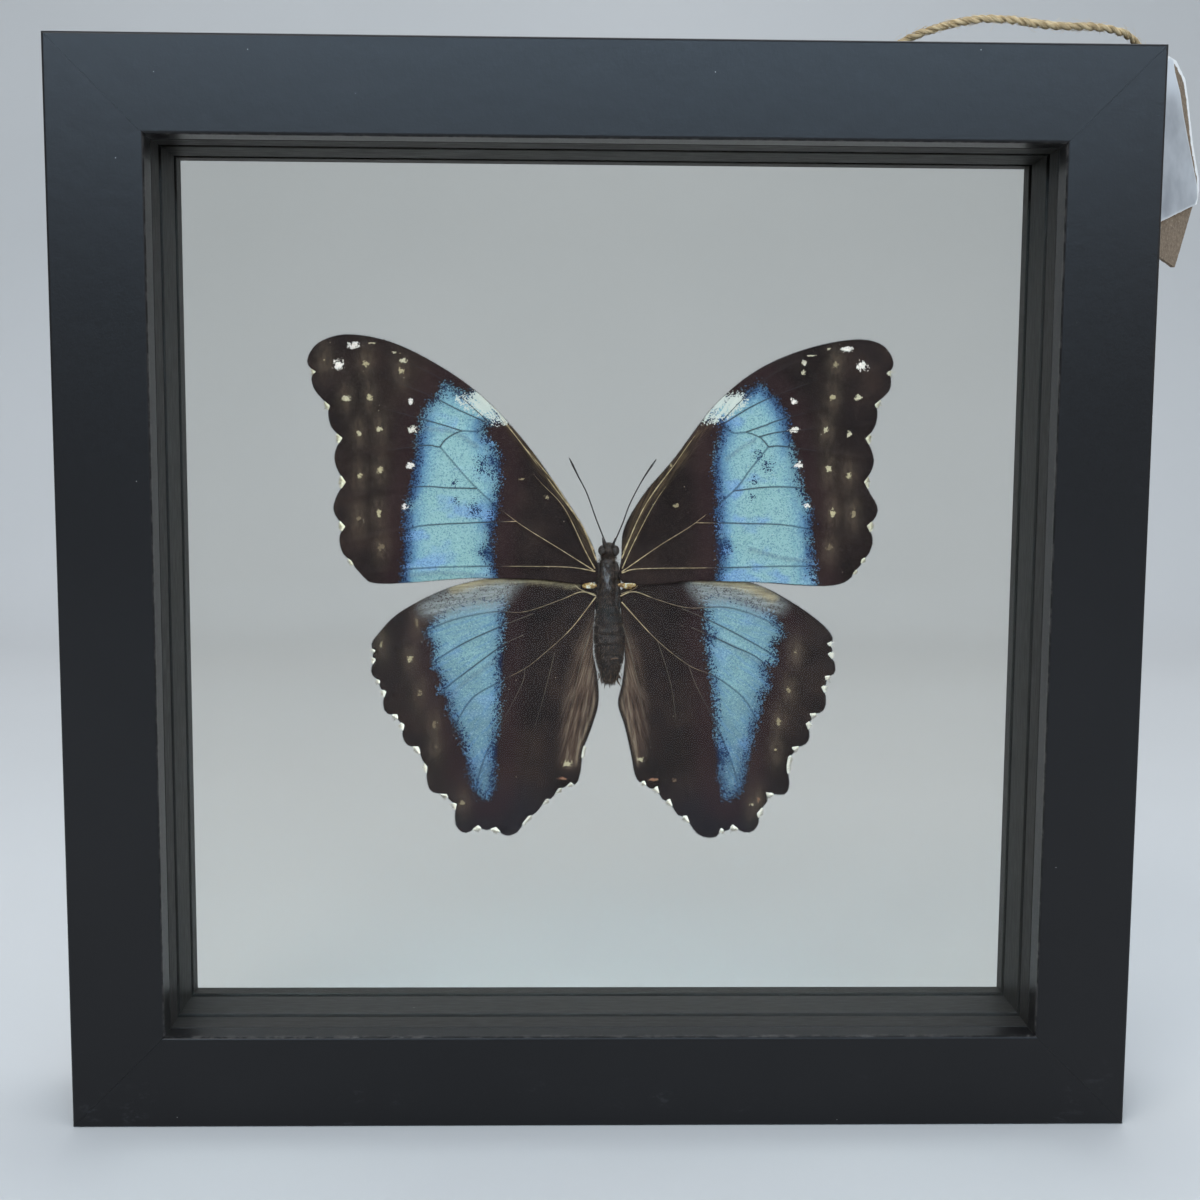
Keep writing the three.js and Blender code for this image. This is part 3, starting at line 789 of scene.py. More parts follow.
FOREWING_LEFT = {
    "band": [
        (-26.6, 154.8), (-28.4, 152.8), (-30.9, 153.4), (-33.4, 154.8), (-35.3, 152), (-38, 149.3),
        (-38.8, 146.6), (-39.4, 143.1), (-39.8, 139.5), (-40.3, 136), (-40.9, 132.4), (-41.9, 128.8),
        (-42.3, 125.7), (-42.3, 121.7), (-42.4, 117.6), (-42.9, 112.7), (-43, 108), (-22.4, 108),
        (-22.6, 113.7), (-23.4, 116.4), (-23.7, 123.1), (-23, 126.7), (-22.3, 130.3), (-22, 134.3),
        (-22, 137.9), (-22.7, 141), (-24.6, 143.2), (-25.2, 145.4), (-22, 146.5), (-19.5, 147.5),
    ],
    "white": [
        (-25.5, 155), (-19, 147), (-21.8, 145.6), (-25, 146.7), (-30.4, 149.6), (-31.6, 151.8),
        (-28.6, 153),
    ],
    "spots": [
        (-52.7, 162.3, 1.7, 0.8, 1), (-55.8, 158.3, 1.3, 1.3, 1), (-50.2, 158.5, 0.8, 0.8, 0.4),
        (-42.4, 159.2, 1, 0.6, 0.6), (-42.8, 157.2, 0.7, 0.8, 0.4), (-48.9, 162.8, 1.1, 0.22, 0.6),
        (-44.1, 160.9, 1.3, 0.22, 0.6), (-40.7, 150.8, 0.7, 0.8, 1), (-40.4, 144.9, 1.3, 0.7, 0.85),
        (-41, 137.3, 1, 0.8, 1), (-42.2, 128.6, 0.8, 0.6, 1), (-54.4, 151.3, 1, 0.7, 0.55),
        (-49.5, 151.6, 0.8, 0.8, 0.42), (-51.8, 144, 0.8, 0.6, 0.5), (-47.4, 144.9, 0.8, 0.7, 0.5),
        (-51.7, 135.1, 0.6, 0.8, 0.45), (-47.4, 136.3, 0.8, 0.8, 0.45), (-52, 125.9, 0.5, 0.7, 0.22),
        (-47.7, 127.1, 0.7, 1, 0.45), (-47.2, 119.9, 0.8, 0.9, 0.2), (-58.9, 159.3, 0.25, 0.3, 0.4),
        (-12.1, 130.8, 0.8, 0.5, 0.35), (-17.5, 134.6, 1.1, 0.25, 0.3),
    ],
    "worn": [
        (-27.3, 128, 1.8), (-31.4, 129.8, 1), (-31.8, 133.8, 0.8), (-25.3, 137.5, 2.4), (-25.4, 119, 1.6),
    ],
    "creases": [
        [(-38, 145.1), (-32.7, 144.6), (-29.5, 143.2), (-26.9, 141.4)],
        [(-23, 113.6), (-33, 114.6), (-41, 114)],
    ],
    "veins": {
        "radius": [(-1.8, 115.6), (-4, 119.6), (-8.5, 128.6), (-13.9, 134.4), (-19.3, 141), (-24.6, 147)],
        "subcosta": [
            (-1.3, 116.9), (-4.9, 125.5), (-9.9, 133), (-16.6, 141), (-21.5, 146.8), (-28.2, 153.3),
            (-40, 160.4),
        ],
        "costa": [(-1.6, 118.6), (-6.5, 128.2), (-13.2, 137.8), (-20.2, 146.4), (-28.2, 153.9)],
        "cubitus": [(-2.2, 115.3), (-9.4, 119.8), (-18.6, 125.6), (-26.9, 132.5), (-34.7, 141.2)],
        "cubitus_2": [(-18.6, 125.6), (-28.7, 125.2), (-38.1, 124.6), (-42.6, 123.6), (-54.2, 121)],
        "cubitus_1": [(-26.9, 132.5), (-32.7, 132.6), (-40.7, 132.7), (-55.3, 130.2)],
        "media_3": [(-34.7, 141.2), (-39.3, 141.4), (-55.9, 138.6)],
        "cell_end": [
            (-34.7, 141.2), (-33.8, 142.5), (-32.2, 143.7), (-30, 144.6), (-26.2, 144.7), (-24.6, 147),
        ],
        "media_1": [(-30, 144.6), (-35.3, 146.2), (-45, 148.8), (-57.4, 152.2)],
        "radius_5": [(-24.8, 146.4), (-30.9, 149.1), (-38, 152.5), (-50, 156.9), (-60.8, 159.8)],
        "radius_4": [(-24.8, 146.9), (-29.5, 151.1), (-35, 155.8), (-46, 160.6), (-56, 162.7)],
        "anal": [(-1.7, 115), (-8, 115.9), (-22.9, 116), (-37.7, 115.6), (-50, 114.4)],
    },
}

FOREWING_RIGHT = {
    "band": [
        (23.6, 153.2), (26.2, 152.6), (29.4, 153.1), (31.4, 154.2), (32.9, 155), (34.7, 153.4), (36.2, 152),
        (38.5, 148.5), (39.5, 144.9), (40.5, 140.9), (41.5, 136.5), (42.4, 132.9), (43.9, 129.3),
        (44.4, 125.7), (44.5, 121.7), (45, 117.6), (45.6, 112.6), (45.6, 108), (24.2, 108), (24.3, 113.6),
        (24.7, 116.6), (24.2, 121.1), (24.1, 125.6), (24, 130.6), (23.5, 135.5), (23.4, 139.9),
        (24.3, 143.5), (24.7, 146.2), (21.3, 147), (18, 148),
    ],
    "white": [
        (23.5, 154), (18.1, 148), (21.1, 146.2), (24.8, 146.6), (28.5, 148.9), (31, 151.2), (29.5, 153.2),
        (26.2, 153.4),
    ],
    "spots": [
        (51.1, 162.3, 1.5, 0.75, 1), (54.4, 158.9, 1.4, 1.3, 1), (48.8, 159.1, 0.7, 0.8, 0.3),
        (42.1, 159.4, 0.8, 0.6, 0.75), (42, 157.4, 0.6, 0.7, 0.6), (43.7, 160.9, 1.1, 0.25, 0.7),
        (47.4, 162.3, 0.9, 0.22, 0.6), (40.1, 151.3, 0.8, 0.75, 1), (40.3, 145.3, 1.3, 0.7, 0.9),
        (41.4, 137.9, 1.2, 0.8, 1), (43.3, 129.2, 0.8, 0.5, 1), (53.7, 152.1, 0.9, 0.7, 0.6),
        (48.3, 152.2, 0.9, 0.7, 0.4), (47.1, 145.3, 0.7, 0.8, 0.55), (52.1, 144.5, 0.7, 0.8, 0.6),
        (47.8, 137.1, 0.7, 0.8, 0.5), (52.2, 135.7, 0.6, 0.8, 0.45), (48.8, 127.8, 0.8, 1, 0.45),
        (53.3, 127.6, 0.6, 1, 0.3), (48.4, 120.4, 0.9, 0.8, 0.2), (14.2, 137.6, 0.3, 1, 0.35),
        (15.4, 129.2, 0.8, 0.5, 0.3),
    ],
    "worn": [(32.9, 140, 1.4), (34.8, 137.6, 1.4), (32.1, 134.6, 0.9), (26, 120.5, 1.8), (31.5, 131, 0.9)],
    "creases": [
        [(31.4, 120), (36, 118.6), (39.1, 117.9), (44.6, 117.4)],
        [(26.1, 139.1), (29, 141.4), (31.9, 143.1)],
    ],
    "veins": {
        "radius": [(4, 115.6), (6.8, 121.9), (11.9, 131.4), (18.1, 139), (23.8, 146.6)],
        "subcosta": [
            (3.9, 117.8), (8.3, 128.2), (14.5, 137.2), (20.2, 145.3), (25.9, 152), (34.8, 158.4),
            (41, 160.8),
        ],
        "costa": [(4.2, 119), (9.3, 130), (16, 139.2), (22.7, 148.2), (28.8, 154.4)],
        "cubitus": [(3.9, 114.9), (12, 120.6), (19.6, 125.5), (27.6, 132.3), (31.1, 136.9), (34.9, 141.7)],
        "cubitus_2": [(19.6, 125.5), (29.5, 125.4), (40.3, 124.9), (55.8, 121.6)],
        "cubitus_1": [(27.6, 132.3), (35.7, 133.2), (44.7, 132.7), (57, 130)],
        "media_3": [(34.9, 141.7), (39.1, 141.7), (56.4, 139.2)],
        "cell_end": [
            (34.9, 141.7), (33.9, 142.9), (32.8, 143.8), (30.1, 144.7), (27.4, 144.6), (25.1, 146.2),
        ],
        "media_1": [(30.1, 144.8), (34.1, 146.2), (38.6, 147.8), (57, 152.8)],
        "media_2": [(32.8, 143.8), (38.6, 145), (57.2, 146.6)],
        "radius_5": [(25.1, 146.4), (31.3, 150.2), (38, 153.2), (50, 157.4), (60.2, 160)],
        "radius_4": [(24.9, 147.1), (30, 152.4), (35.6, 157), (45, 161), (55, 162.8)],
        "anal": [(3.9, 114.7), (8, 115.6), (24.2, 115.9), (44.6, 116.3), (52.6, 115.2)],
    },
}

HINDWING_LEFT = {
    "band": [
        (-21, 109.6), (-25.4, 109.8), (-29.6, 109), (-33.8, 107.4), (-35.6, 105.4), (-37.9, 101.5),
        (-36.4, 98.4), (-36.7, 94.6), (-34.8, 91.9), (-35, 88.6), (-33.6, 87.8), (-33.1, 84.6), (-31.2, 80),
        (-29.9, 76.7), (-28.8, 71.4), (-27.5, 67.4), (-25.6, 65.2), (-23.9, 65.9), (-23.4, 68),
        (-22.9, 73.1), (-22.5, 81.9), (-21.9, 88.2), (-21.5, 98),
    ],
    "grey": [
        (-17.5, 113.6), (-22.4, 107.6), (-26, 107.2), (-30, 106.6), (-35, 105.2), (-38.8, 106.6),
        (-35, 109.6), (-28, 113),
    ],
    "tan_line": [(-6, 112.4), (-13.5, 113.3), (-19.5, 113.5), (-25.5, 112.8), (-32, 111)],
    "inner": [(-6.4, 99), (-1.4, 106), (0, 92.4), (-2.4, 81.5), (-4.5, 73), (-9.4, 72.4), (-9, 84)],
    "tail": (-24, 62, 12, 6),
    "spots": [
        (-41.3, 95.9, 0.8, 0.8, 0.42), (-39.4, 88.4, 0.6, 0.9, 0.28), (-36.3, 81.7, 0.6, 1, 0.22),
        (-35.9, 76.8, 0.5, 0.5, 0.2), (-39.9, 103.5, 0.4, 1.5, 0.2), (-47.5, 98.9, 0.4, 0.8, 0.3),
        (-8.6, 69.8, 1.3, 0.4, 0), (-7.5, 73.1, 1.3, 0.9, 0.5), (-30.2, 64.4, 1, 0.5, 0.3),
    ],
    "worn": [(-22.6, 76, 1.8), (-21.5, 95, 1.6)],
    "creases": [[(-21.8, 97), (-26, 93.6), (-30, 90.6), (-33.4, 86.6)]],
    "veins": {
        "radius": [
            (-1.5, 109.7), (-4.8, 110.5), (-9.1, 108.8), (-16.9, 106.2), (-23.9, 106.1), (-33.8, 103.8),
            (-44, 98.5),
        ],
        "humeral": [(-9.3, 113.2), (-6.9, 112.7), (-4.8, 111), (-1.6, 110)],
        "media_1": [(-15, 105.8), (-21.9, 103), (-29.7, 99.4), (-36.3, 95.2), (-44.5, 88.6)],
        "media_2": [(-17, 101.2), (-21.4, 99), (-29.7, 92.8), (-34.6, 88.6), (-41, 80.5)],
        "cubitus": [
            (-1.5, 109.5), (-7, 102.4), (-12.8, 97), (-16.7, 93.9), (-22.7, 90.7), (-28.1, 87.3), (-32, 81),
            (-35.8, 73),
        ],
        "cubitus_1": [(-16.7, 93.9), (-17.3, 90.7), (-21, 83.2), (-25.6, 73.9), (-27.8, 65.5)],
        "cubitus_2": [(-10.3, 97.4), (-12.8, 87.4), (-15.2, 78.6), (-17.4, 66)],
        "anal": [(-1.5, 105), (-4, 98), (-6.6, 86), (-8.8, 74.5)],
    },
}

HINDWING_RIGHT = {
    "band": [
        (21.8, 111.2), (28, 110.1), (32.4, 108.2), (35.8, 106.4), (38.8, 102), (36.8, 99.3), (37.6, 96.8),
        (37.1, 95), (35.2, 94.5), (35.9, 92.2), (36, 89.6), (34.6, 88.4), (34.4, 84.6), (33.1, 80.8),
        (32.3, 76.6), (31.5, 72.3), (30.6, 68.1), (28.4, 65.6), (26.8, 65.5), (25.5, 69.4), (25, 73.6),
        (24.4, 82.9), (24, 87.5), (23.3, 92.5), (22.4, 97.5), (22, 103),
    ],
    "grey": [(18, 113.6), (21.4, 109), (29, 108.2), (34, 106.6), (38.6, 107.4), (35, 110.6), (27, 113.6)],
    "tan_line": [(20, 113.6), (25.5, 113), (31, 111.7), (36.5, 109.4)],
    "inner": [(4, 106), (8.3, 96.7), (9.8, 85), (9.3, 73.6), (4.8, 76), (2.4, 88.3)],
    "tail": (26, 62, 12, 6),
    "spots": [
        (11.1, 69.6, 1.3, 0.4, 0), (15.7, 69.4, 0.6, 0.6, 0.16), (32.7, 64.1, 0.7, 0.35, 0.5),
        (34.1, 65.1, 0.5, 0.7, 0.08), (41.6, 97.6, 0.5, 0.7, 0.3), (40.3, 89.4, 0.5, 1, 0.3),
        (38.2, 82.5, 0.6, 1, 0.3), (37.7, 76.2, 0.4, 0.4, 0.35), (8.3, 74, 0.9, 0.7, 0.5),
    ],
    "worn": [(26, 75, 1.9), (23.8, 101, 1.4)],
    "creases": [[(22.9, 101.5), (27.5, 99.2), (31.7, 96.7), (35.1, 94.9)]],
    "veins": {
        "radius": [
            (3.3, 109.5), (6.7, 110.6), (11.7, 108.9), (18.3, 107.2), (27.4, 107.2), (36.6, 103.8),
            (45.5, 98),
        ],
        "humeral": [(7.9, 112.5), (6.4, 111.1), (3.7, 110.1)],
        "media_1": [(17, 107), (23.3, 104.3), (30.4, 100.7), (37.5, 96.3), (45.6, 88.5)],
        "media_2": [(19, 103), (27.5, 99.2), (35.1, 94.9), (42.6, 83)],
        "cubitus": [
            (3.3, 109.1), (11.4, 100.4), (18.5, 94.8), (24.3, 92.3), (30.2, 87.9), (33.6, 82.5),
            (37.6, 73.2),
        ],
        "cubitus_1": [(18.5, 94.8), (20.2, 90.4), (24.9, 81.2), (28.8, 71.5), (30.4, 63.5)],
        "cubitus_2": [(11.8, 100), (14.8, 90.4), (16.4, 80), (19, 66.5)],
        "anal": [(3.7, 105), (6.2, 97), (8.6, 86), (10.6, 73)],
    },
}

WINGS = {
    "forewing_left": FOREWING_LEFT,
    "forewing_right": FOREWING_RIGHT,
    "hindwing_left": HINDWING_LEFT,
    "hindwing_right": HINDWING_RIGHT,
}

# Eyespots of the underside: distance from the body's middle, height and radius.
EYESPOTS = {
    "forewing": [(48, 152.5, 1.9), (45.5, 143.5, 2.3), (44.5, 134.5, 2.6), (45, 125.5, 2.2)],
    "hindwing": [(38.5, 97.5, 3), (35, 85.5, 2.7), (29, 74.5, 2.6), (19.5, 69.5, 2.2)],
}
# Pale lines of the underside, in the same places, with half their width.
PALE_LINES = {
    "forewing": [
        ([(18, 142), (19.5, 130), (19, 113)], 0.5),
        ([(31, 156), (36, 144), (37.5, 128), (37, 112)], 0.9),
    ],
    "hindwing": [
        ([(13, 114), (15, 98), (13, 82), (8, 70)], 0.5),
        ([(26, 114), (28, 98), (23, 82), (14, 69)], 0.9),
    ],
}


# ------------------------------------------------------------------ wings

GRID = 0.3  # side of a membrane's squares
SHEET = 0.14  # thickness of a wing's membrane
VEIN_RADIUS = 0.11
WING_BASE = np.array([BODY_X, 114.0])  # where the rays of a wing's scales start, as [x, z]
WAVE_HEIGHT, VEIN_HEIGHT, CREASE_HEIGHT = 0.34, 0.1, 0.14  # how far each stands out
DARK_FRINGE = 0.35
FRINGE_ROOT = 0.12  # how far inside the margin the fringe starts
FRINGE_STEP = 0.07  # from one scale of the fringe to the next
NOTCH_DEPTH = 0.055  # how deep a notch has to be for pale fringe
# How far out from the body a forewing's front veins stay pale, and the hindwing's faint veins
LAST_PALE = {"radius": 25, "subcosta": 44, "costa": 30}
FAINT_VEINS = ("media_1", "media_2", "cubitus_1", "cubitus_2", "anal")
NOTCH_REACH = 1.7  # how far along the margin from a notch the pale fringe grows


def bump(distance, width):
    """1 where the distance is 0, falling off to each side over about the width."""
    return np.exp(-((distance / width) ** 2))


def segments_of(line, closed=False):
    line = np.array(line, float)
    return (line, np.roll(line, -1, 0)) if closed else (line[:-1], line[1:])


def nearest(points, starts, ends):
    """Distance from each point to the nearest segment, and the nearest place on it."""
    best = np.full(len(points), np.inf)
    place = np.zeros((len(points), 2))
    for a, b in zip(starts, ends):
        way = b - a
        t = np.clip((points - a) @ way / max(way @ way, 1e-12), 0, 1)
        on = a + t[:, None] * way
        d = np.hypot(*(points - on).T)
        closer = d < best
        best[closer] = d[closer]
        place[closer] = on[closer]
    return best, place


def inside(points, ring):
    """Which points lie inside a closed ring."""
    found = np.zeros(len(points), bool)
    x, z = points.T
    for a, b in zip(*segments_of(ring, True)):
        if a[1] != b[1]:
            found ^= ((z < a[1]) != (z < b[1])) & (x < a[0] + (z - a[1]) * (b[0] - a[0]) / (b[1] - a[1]))
    return found


def from_line(points, line):
    """Distance to a smooth line through the given places."""
    return nearest(points, *segments_of(smooth(line, 1)))[0]


def depth_in(points, ring):
    """Distance to a smooth ring through the given places, negative outside it."""
    ring = smooth([*ring, ring[0]], 0.8)
    away = nearest(points, *segments_of(ring))[0]
    return np.where(inside(points, ring), away, -away)


def outline_of(node):
    """The wing's outline, taken from the front face of its CAD plate, as an open ring of [x, z]."""
    mesh = NODES[node].data
    world = np.array(NODES[node].matrix_world)
    points = np.empty(len(mesh.vertices) * 3)
    mesh.vertices.foreach_get("co", points)
    points = (points.reshape(-1, 3) @ world[:3, :3].T + world[:3, 3]) / MM
    keys = [(round(x, 3), round(z, 3)) if y - points[:, 1].min() < 0.1 else None for x, y, z in points]
    count = defaultdict(int)
    for face in mesh.polygons:
        corners = [keys[i] for i in face.vertices]
        if None not in corners:
            for a, b in zip(corners, corners[1:] + corners[:1]):
                count[a, b] += 1
                count[b, a] -= 1
    after = {a: b for (a, b), n in count.items() if n > 0}
    ring = [next(iter(after))]
    while after[ring[-1]] != ring[0]:
        ring.append(after[ring[-1]])
    ring = np.array(ring)
    area = np.sum(ring[:, 0] * np.roll(ring[:, 1], -1) - np.roll(ring[:, 0], -1) * ring[:, 1])
    return ring if area > 0 else ring[::-1]


def membrane(ring):
    """A fine grid of squares inside the ring, with its edge points drawn onto the ring."""
    low, high = ring.min(0) - GRID, ring.max(0) + GRID
    xs, zs = np.arange(low[0], high[0], GRID), np.arange(low[1], high[1], GRID)
    corners = np.stack(np.meshgrid(xs, zs, indexing="ij"), -1)
    middles = corners[:-1, :-1] + GRID / 2
    kept = inside(middles.reshape(-1, 2), ring).reshape(middles.shape[:2])
    number = np.arange(corners[..., 0].size).reshape(corners.shape[:2])
    i, j = np.nonzero(kept)
    quads = np.stack([number[i, j], number[i + 1, j], number[i + 1, j + 1], number[i, j + 1]], 1)
    touched = np.bincount(quads.ravel(), minlength=number.size)
    used = np.nonzero(touched)[0]
    renumber = np.full(number.size, -1)
    renumber[used] = np.arange(len(used))
    points = corners.reshape(-1, 2)[used]
    edge = touched[used] < 4
    points[edge] = nearest(points[edge], *segments_of(ring, True))[1]
    return points, renumber[quads]


def relief(points, veins, creases):
    """How far the membrane stands out towards the viewer, in mm."""
    flat = np.clip((np.hypot(*(points - WING_BASE).T) - 4) / 12, 0, 1)
    waves = np.array([noise.noise(Vector((x * 0.09, z * 0.06, 3.7))) for x, z in points])
    raised = WAVE_HEIGHT * waves * flat + VEIN_HEIGHT * bump(veins, 0.7)
    return raised + CREASE_HEIGHT * bump(creases, 0.8) * flat


def ellipses(points, spots):
    """For each point the share of the way into the nearest spot, below 0 outside, and that spot's tone."""
    best, tone = np.full(len(points), -9.0), np.zeros(len(points))
    for x, z, half_width, half_height, its_tone in spots:
        share = 1 - np.hypot((points[:, 0] - x) / half_width, (points[:, 1] - z) / half_height)
        closer = share > best
        best[closer] = share[closer]
        tone[closer] = its_tone
    return best, tone


def patches(points, marks):
    """How near each point is to a spot's halo, a worn place and a crease, from 0 to 1. Nearness to a crease
    carries painted shade in the band.
    """
    halo, worn, crease = (np.zeros(len(points)) for _ in range(3))
    for x, z, _, _, its_tone in marks["spots"]:
        if its_tone < 0.6 and abs(x - BODY_X) > 30:
            away = np.hypot((points[:, 0] - x) / 1.7, (points[:, 1] - z) / 3.6)
            halo = np.maximum(halo, 0.55 * bump(away, 1))
    for x, z, radius in marks["worn"]:
        worn = np.maximum(worn, bump(np.hypot(*(points - [x, z]).T), radius))
    for line in marks["creases"]:
        crease = np.maximum(crease, bump(from_line(points, line), 0.55))
    return {"halo": halo, "worn": worn, "crease": crease}


def inner_margin(points, margin, kind):
    """The hindwing's dark inner rim and the pale fold beside it, which fade out upwards."""
    height = points[:, 1]
    folded = (abs(points[:, 0] - BODY_X) < 12) * (kind == "hindwing") * np.clip((height - 72) / 2, 0, 1)
    return {
        "rim": folded * np.clip((98 - height) / 5, 0, 1) * np.clip((0.7 - margin) / 0.25, 0, 1),
        "fold": folded * np.clip((91 - height) / 5, 0, 1) * bump(margin - 1, 0.3),
    }


def markings(points, marks, vein_distance, margin, kind):
    """The upper side's values at each point."""
    out = np.stack([abs(points[:, 0] - WING_BASE[0]), points[:, 1] - WING_BASE[1]], 1)
    reach = np.hypot(*out.T)
    costal, tail = np.zeros(len(points)), np.zeros(len(points))
    if "costa" in marks["veins"]:
        from_edge = from_line(points, marks["veins"]["costa"])
        costal = np.clip(1.3 - from_edge / 1.5, 0, 1) * np.clip((44 - reach) / 6, 0, 1)
    nothing = np.full(len(points), -9.0)
    areas = ("band", "white", "grey", "inner")
    depths = {name: depth_in(points, marks[name]) if name in marks else nothing for name in areas}
    spot, tone = ellipses(points, marks["spots"])
    if "tail" in marks:
        x, z, half_width, half_height = marks["tail"]
        away = np.hypot((points[:, 0] - x) / half_width, (points[:, 1] - z) / half_height)
        tail = np.clip(1.6 - away, 0, 1) * 0.8
    return {
        **depths,
        **patches(points, marks),
        **inner_margin(points, margin, kind),
        "tan": 1.0 - from_line(points, marks["tan_line"]) if "tan_line" in marks else nothing,
        "tail": tail,
        "spot": spot,
        "tone": tone,
        "vein": vein_distance,
        "costal": costal,
        "muted": np.full(len(points), float(kind == "hindwing")),
        "ray": np.arctan2(out[:, 1], out[:, 0]),
        "reach": reach,
    }


def underside(points, kind, margin):
    """The underside's values at each point."""
    out = np.stack([abs(points[:, 0] - BODY_X), points[:, 1]], 1)
    eye = np.full(len(points), 9.0)
    for x, z, radius in EYESPOTS[kind]:
        eye = np.minimum(eye, np.hypot(*(out - [x, z]).T) / radius)
    line = np.maximum(0.28 - abs(margin - 2.1), 0.4 - abs(margin - 4.2))
    line[out[:, 0] < 12] = -3
    for path, half_width in PALE_LINES[kind]:
        line = np.maximum(line, half_width - from_line(out, path))
    return {"eye": eye, "line": line}


def add_fringe(shape, ring, deep, cold, rng):
    """Short dark scales all along the outer margin and pale ones that fill its notches."""
    lengths = np.hypot(*(np.roll(ring, -1, 0) - ring).T)
    travelled = np.concatenate([[0], np.cumsum(lengths)])
    total = travelled[-1]
    closed = np.concatenate([ring, ring[:1]])

    def at(distance):
        distance = distance % total
        return np.stack([np.interp(distance, travelled, closed[:, k]) for k in (0, 1)], -1)

    steps = np.arange(0, total, FRINGE_STEP)
    places = at(steps)
    way = at(steps + 0.25) - at(steps - 0.25)
    outward = np.stack([way[:, 1], -way[:, 0]], 1) / np.maximum(np.hypot(*way.T), 1e-6)[:, None]
    chord = at(steps + NOTCH_REACH) + at(steps - NOTCH_REACH)
    hollow = np.einsum("ij,ij->i", chord / 2 - places, outward)  # how far the chord is outside the margin
    beyond = abs(places[:, 0] - BODY_X) > 5
    for place, out, gap, free in zip(places, outward, hollow, beyond):
        lean = out + rng.normal(0, 0.12, 2)
        pale = free and gap > NOTCH_DEPTH and (abs(place[0] - BODY_X) > 48 or place[1] < 105)
        reach = gap * 1.3 + 0.5 if pale else DARK_FRINGE * rng.uniform(0.3, 0.9)
        x, z = place - FRINGE_ROOT * out
        root = np.array([x, deep + SHEET / 2 + rng.uniform(-0.03, 0.03), z])
        tip = root + np.array([lean[0], rng.normal(0, 0.06), lean[1]]) * (reach + FRINGE_ROOT)
        width = 0.17 if pale else 0.05
        shape.spike(root, tip, width, slot=3, pale=float(pale), cold=cold)


def pale_share(name, reach, kind):
    """How pale a vein is at each distance from the body's middle."""
    last_pale = LAST_PALE.get(name, 23) if kind == "forewing" else 23
    pale = np.clip((last_pale - reach) / 3, 0, 1)
    if kind == "hindwing":
        pale = pale * (0.15 if name in FAINT_VEINS else 0.55 + 0.45 * (reach < 9))
    return pale


def make_wing(node, marks, looks, seed):
    """Both sides of the membrane, the raised veins on its upper side, and the fringe."""
    kind = node.split("_")[0]
    rng = np.random.default_rng(seed)
    low, high = box_mm(node)
    deep = (low.y + high.y) / 2 - SHEET / 2
    ring = outline_of(node)
    points, quads = membrane(ring)
    paths = {name: smooth(line, 0.5) for name, line in marks["veins"].items()}
    starts, ends = (np.concatenate(part) for part in zip(*(segments_of(path) for path in paths.values())))
    creases = [segments_of(smooth(line, 1)) for line in marks["creases"]]
    crease_starts, crease_ends = (np.concatenate(part) for part in zip(*creases))

    def raised(places):
        veins = nearest(places, starts, ends)[0]
        folds = nearest(places, crease_starts, crease_ends)[0]
        return relief(places, veins, folds), veins

    height, vein_distance = raised(points)
    margin = nearest(points, *segments_of(ring, True))[0]
    front = np.stack([points[:, 0], deep - height, points[:, 1]], 1)
    shape = Shape()
    upper = markings(points, marks, vein_distance, margin, kind)
    shape.sheet(front, front + [0, SHEET, 0], quads, (0, 1), upper, underside(points, kind, margin))
    for name, path in paths.items():
        kept = path[inside(path, ring)]
        if len(kept) < 3:
            continue
        lift = raised(kept)[0]
        line = np.stack([kept[:, 0], deep + SHEET / 2 - lift, kept[:, 1]], 1)
        fade = np.linspace(1, 0.45, len(line))
        reach = abs(kept[:, 0] - BODY_X)
        radius = VEIN_RADIUS * fade * (1 + 0.6 * np.clip((9 - reach) / 7, 0, 1))
        shape.tube(line, radius, sides=6, slot=2, pale=pale_share(name, reach, kind))
    add_fringe(shape, ring, deep, float(kind == "hindwing"), rng)
    return ride(shape.make(node.replace("wing", "wing_scaled"), looks), "wing", node)


def make_wings():
    looks = [wing_upper(), wing_under(), wing_vein(), wing_fringe()]
    for seed, (node, marks) in enumerate(WINGS.items(), 1):
        make_wing(node, marks, looks, seed)


# ------------------------------------------------------------------ body, antennae and glue

BODY_DEEP = 20.8
# [half width, middle's x, z] from the tip of the abdomen to the front of the head
BODY_PROFILE = [
    (0.4, 1.4, 90.5), (1.1, 1.4, 91), (1.9, 1.5, 92.6), (2.8, 1.5, 95.4), (3.3, 1.45, 98.6),
    (3.35, 1.4, 101.6), (3.1, 1.3, 104), (2.6, 1.1, 106.4), (2.05, 0.95, 108.6), (1.9, 0.85, 110.6),
    (2.05, 0.8, 113), (1.9, 0.85, 115.8), (1.3, 1.0, 117.5), (1.7, 1.15, 118.7), (1.75, 1.15, 119.8),
    (1.25, 1.15, 120.7), (0.4, 1.15, 121.1),
]
ABDOMEN_JOINTS = [92.4, 94.6, 96.9, 99.2, 101.5, 103.6, 105.6, 107.4]
JOINT_WIDTH = 0.22
BODY_DEPTH = 0.92  # how deep the body is for its width
BODY_HAIRS = 5200
TIP_HAIRS = 150
EYES = [(-0.25, 19.9, 119.4), (2.55, 19.9, 119.4)]
EYE_RADII = (0.9, 1.05, 1.15)
# A palp's places as [distance from the body's middle, deep, z]
PALP = [(0.7, 19.7, 120), (1.1, 19, 121.1), (1.4, 18.9, 122.2)]
# Hip, knee and foot of the legs of one side, in the same way
LEGS = [
    [(1, 23.1, 115), (2.6, 23.4, 112.2), (1, 23.1, 106.4)],
    [(1.2, 23.1, 112.6), (2.9, 23.4, 109.2), (1.4, 23.1, 101.8)],
]
# The lobes at the wings' roots: distance from the thorax's middle, deep, z and radii
ROOT_LOBES = [(1.95, 19.8, 115.0, (0.65, 0.6, 1.9)), (2.05, 20.4, 109.6, (0.8, 0.6, 3.6))]

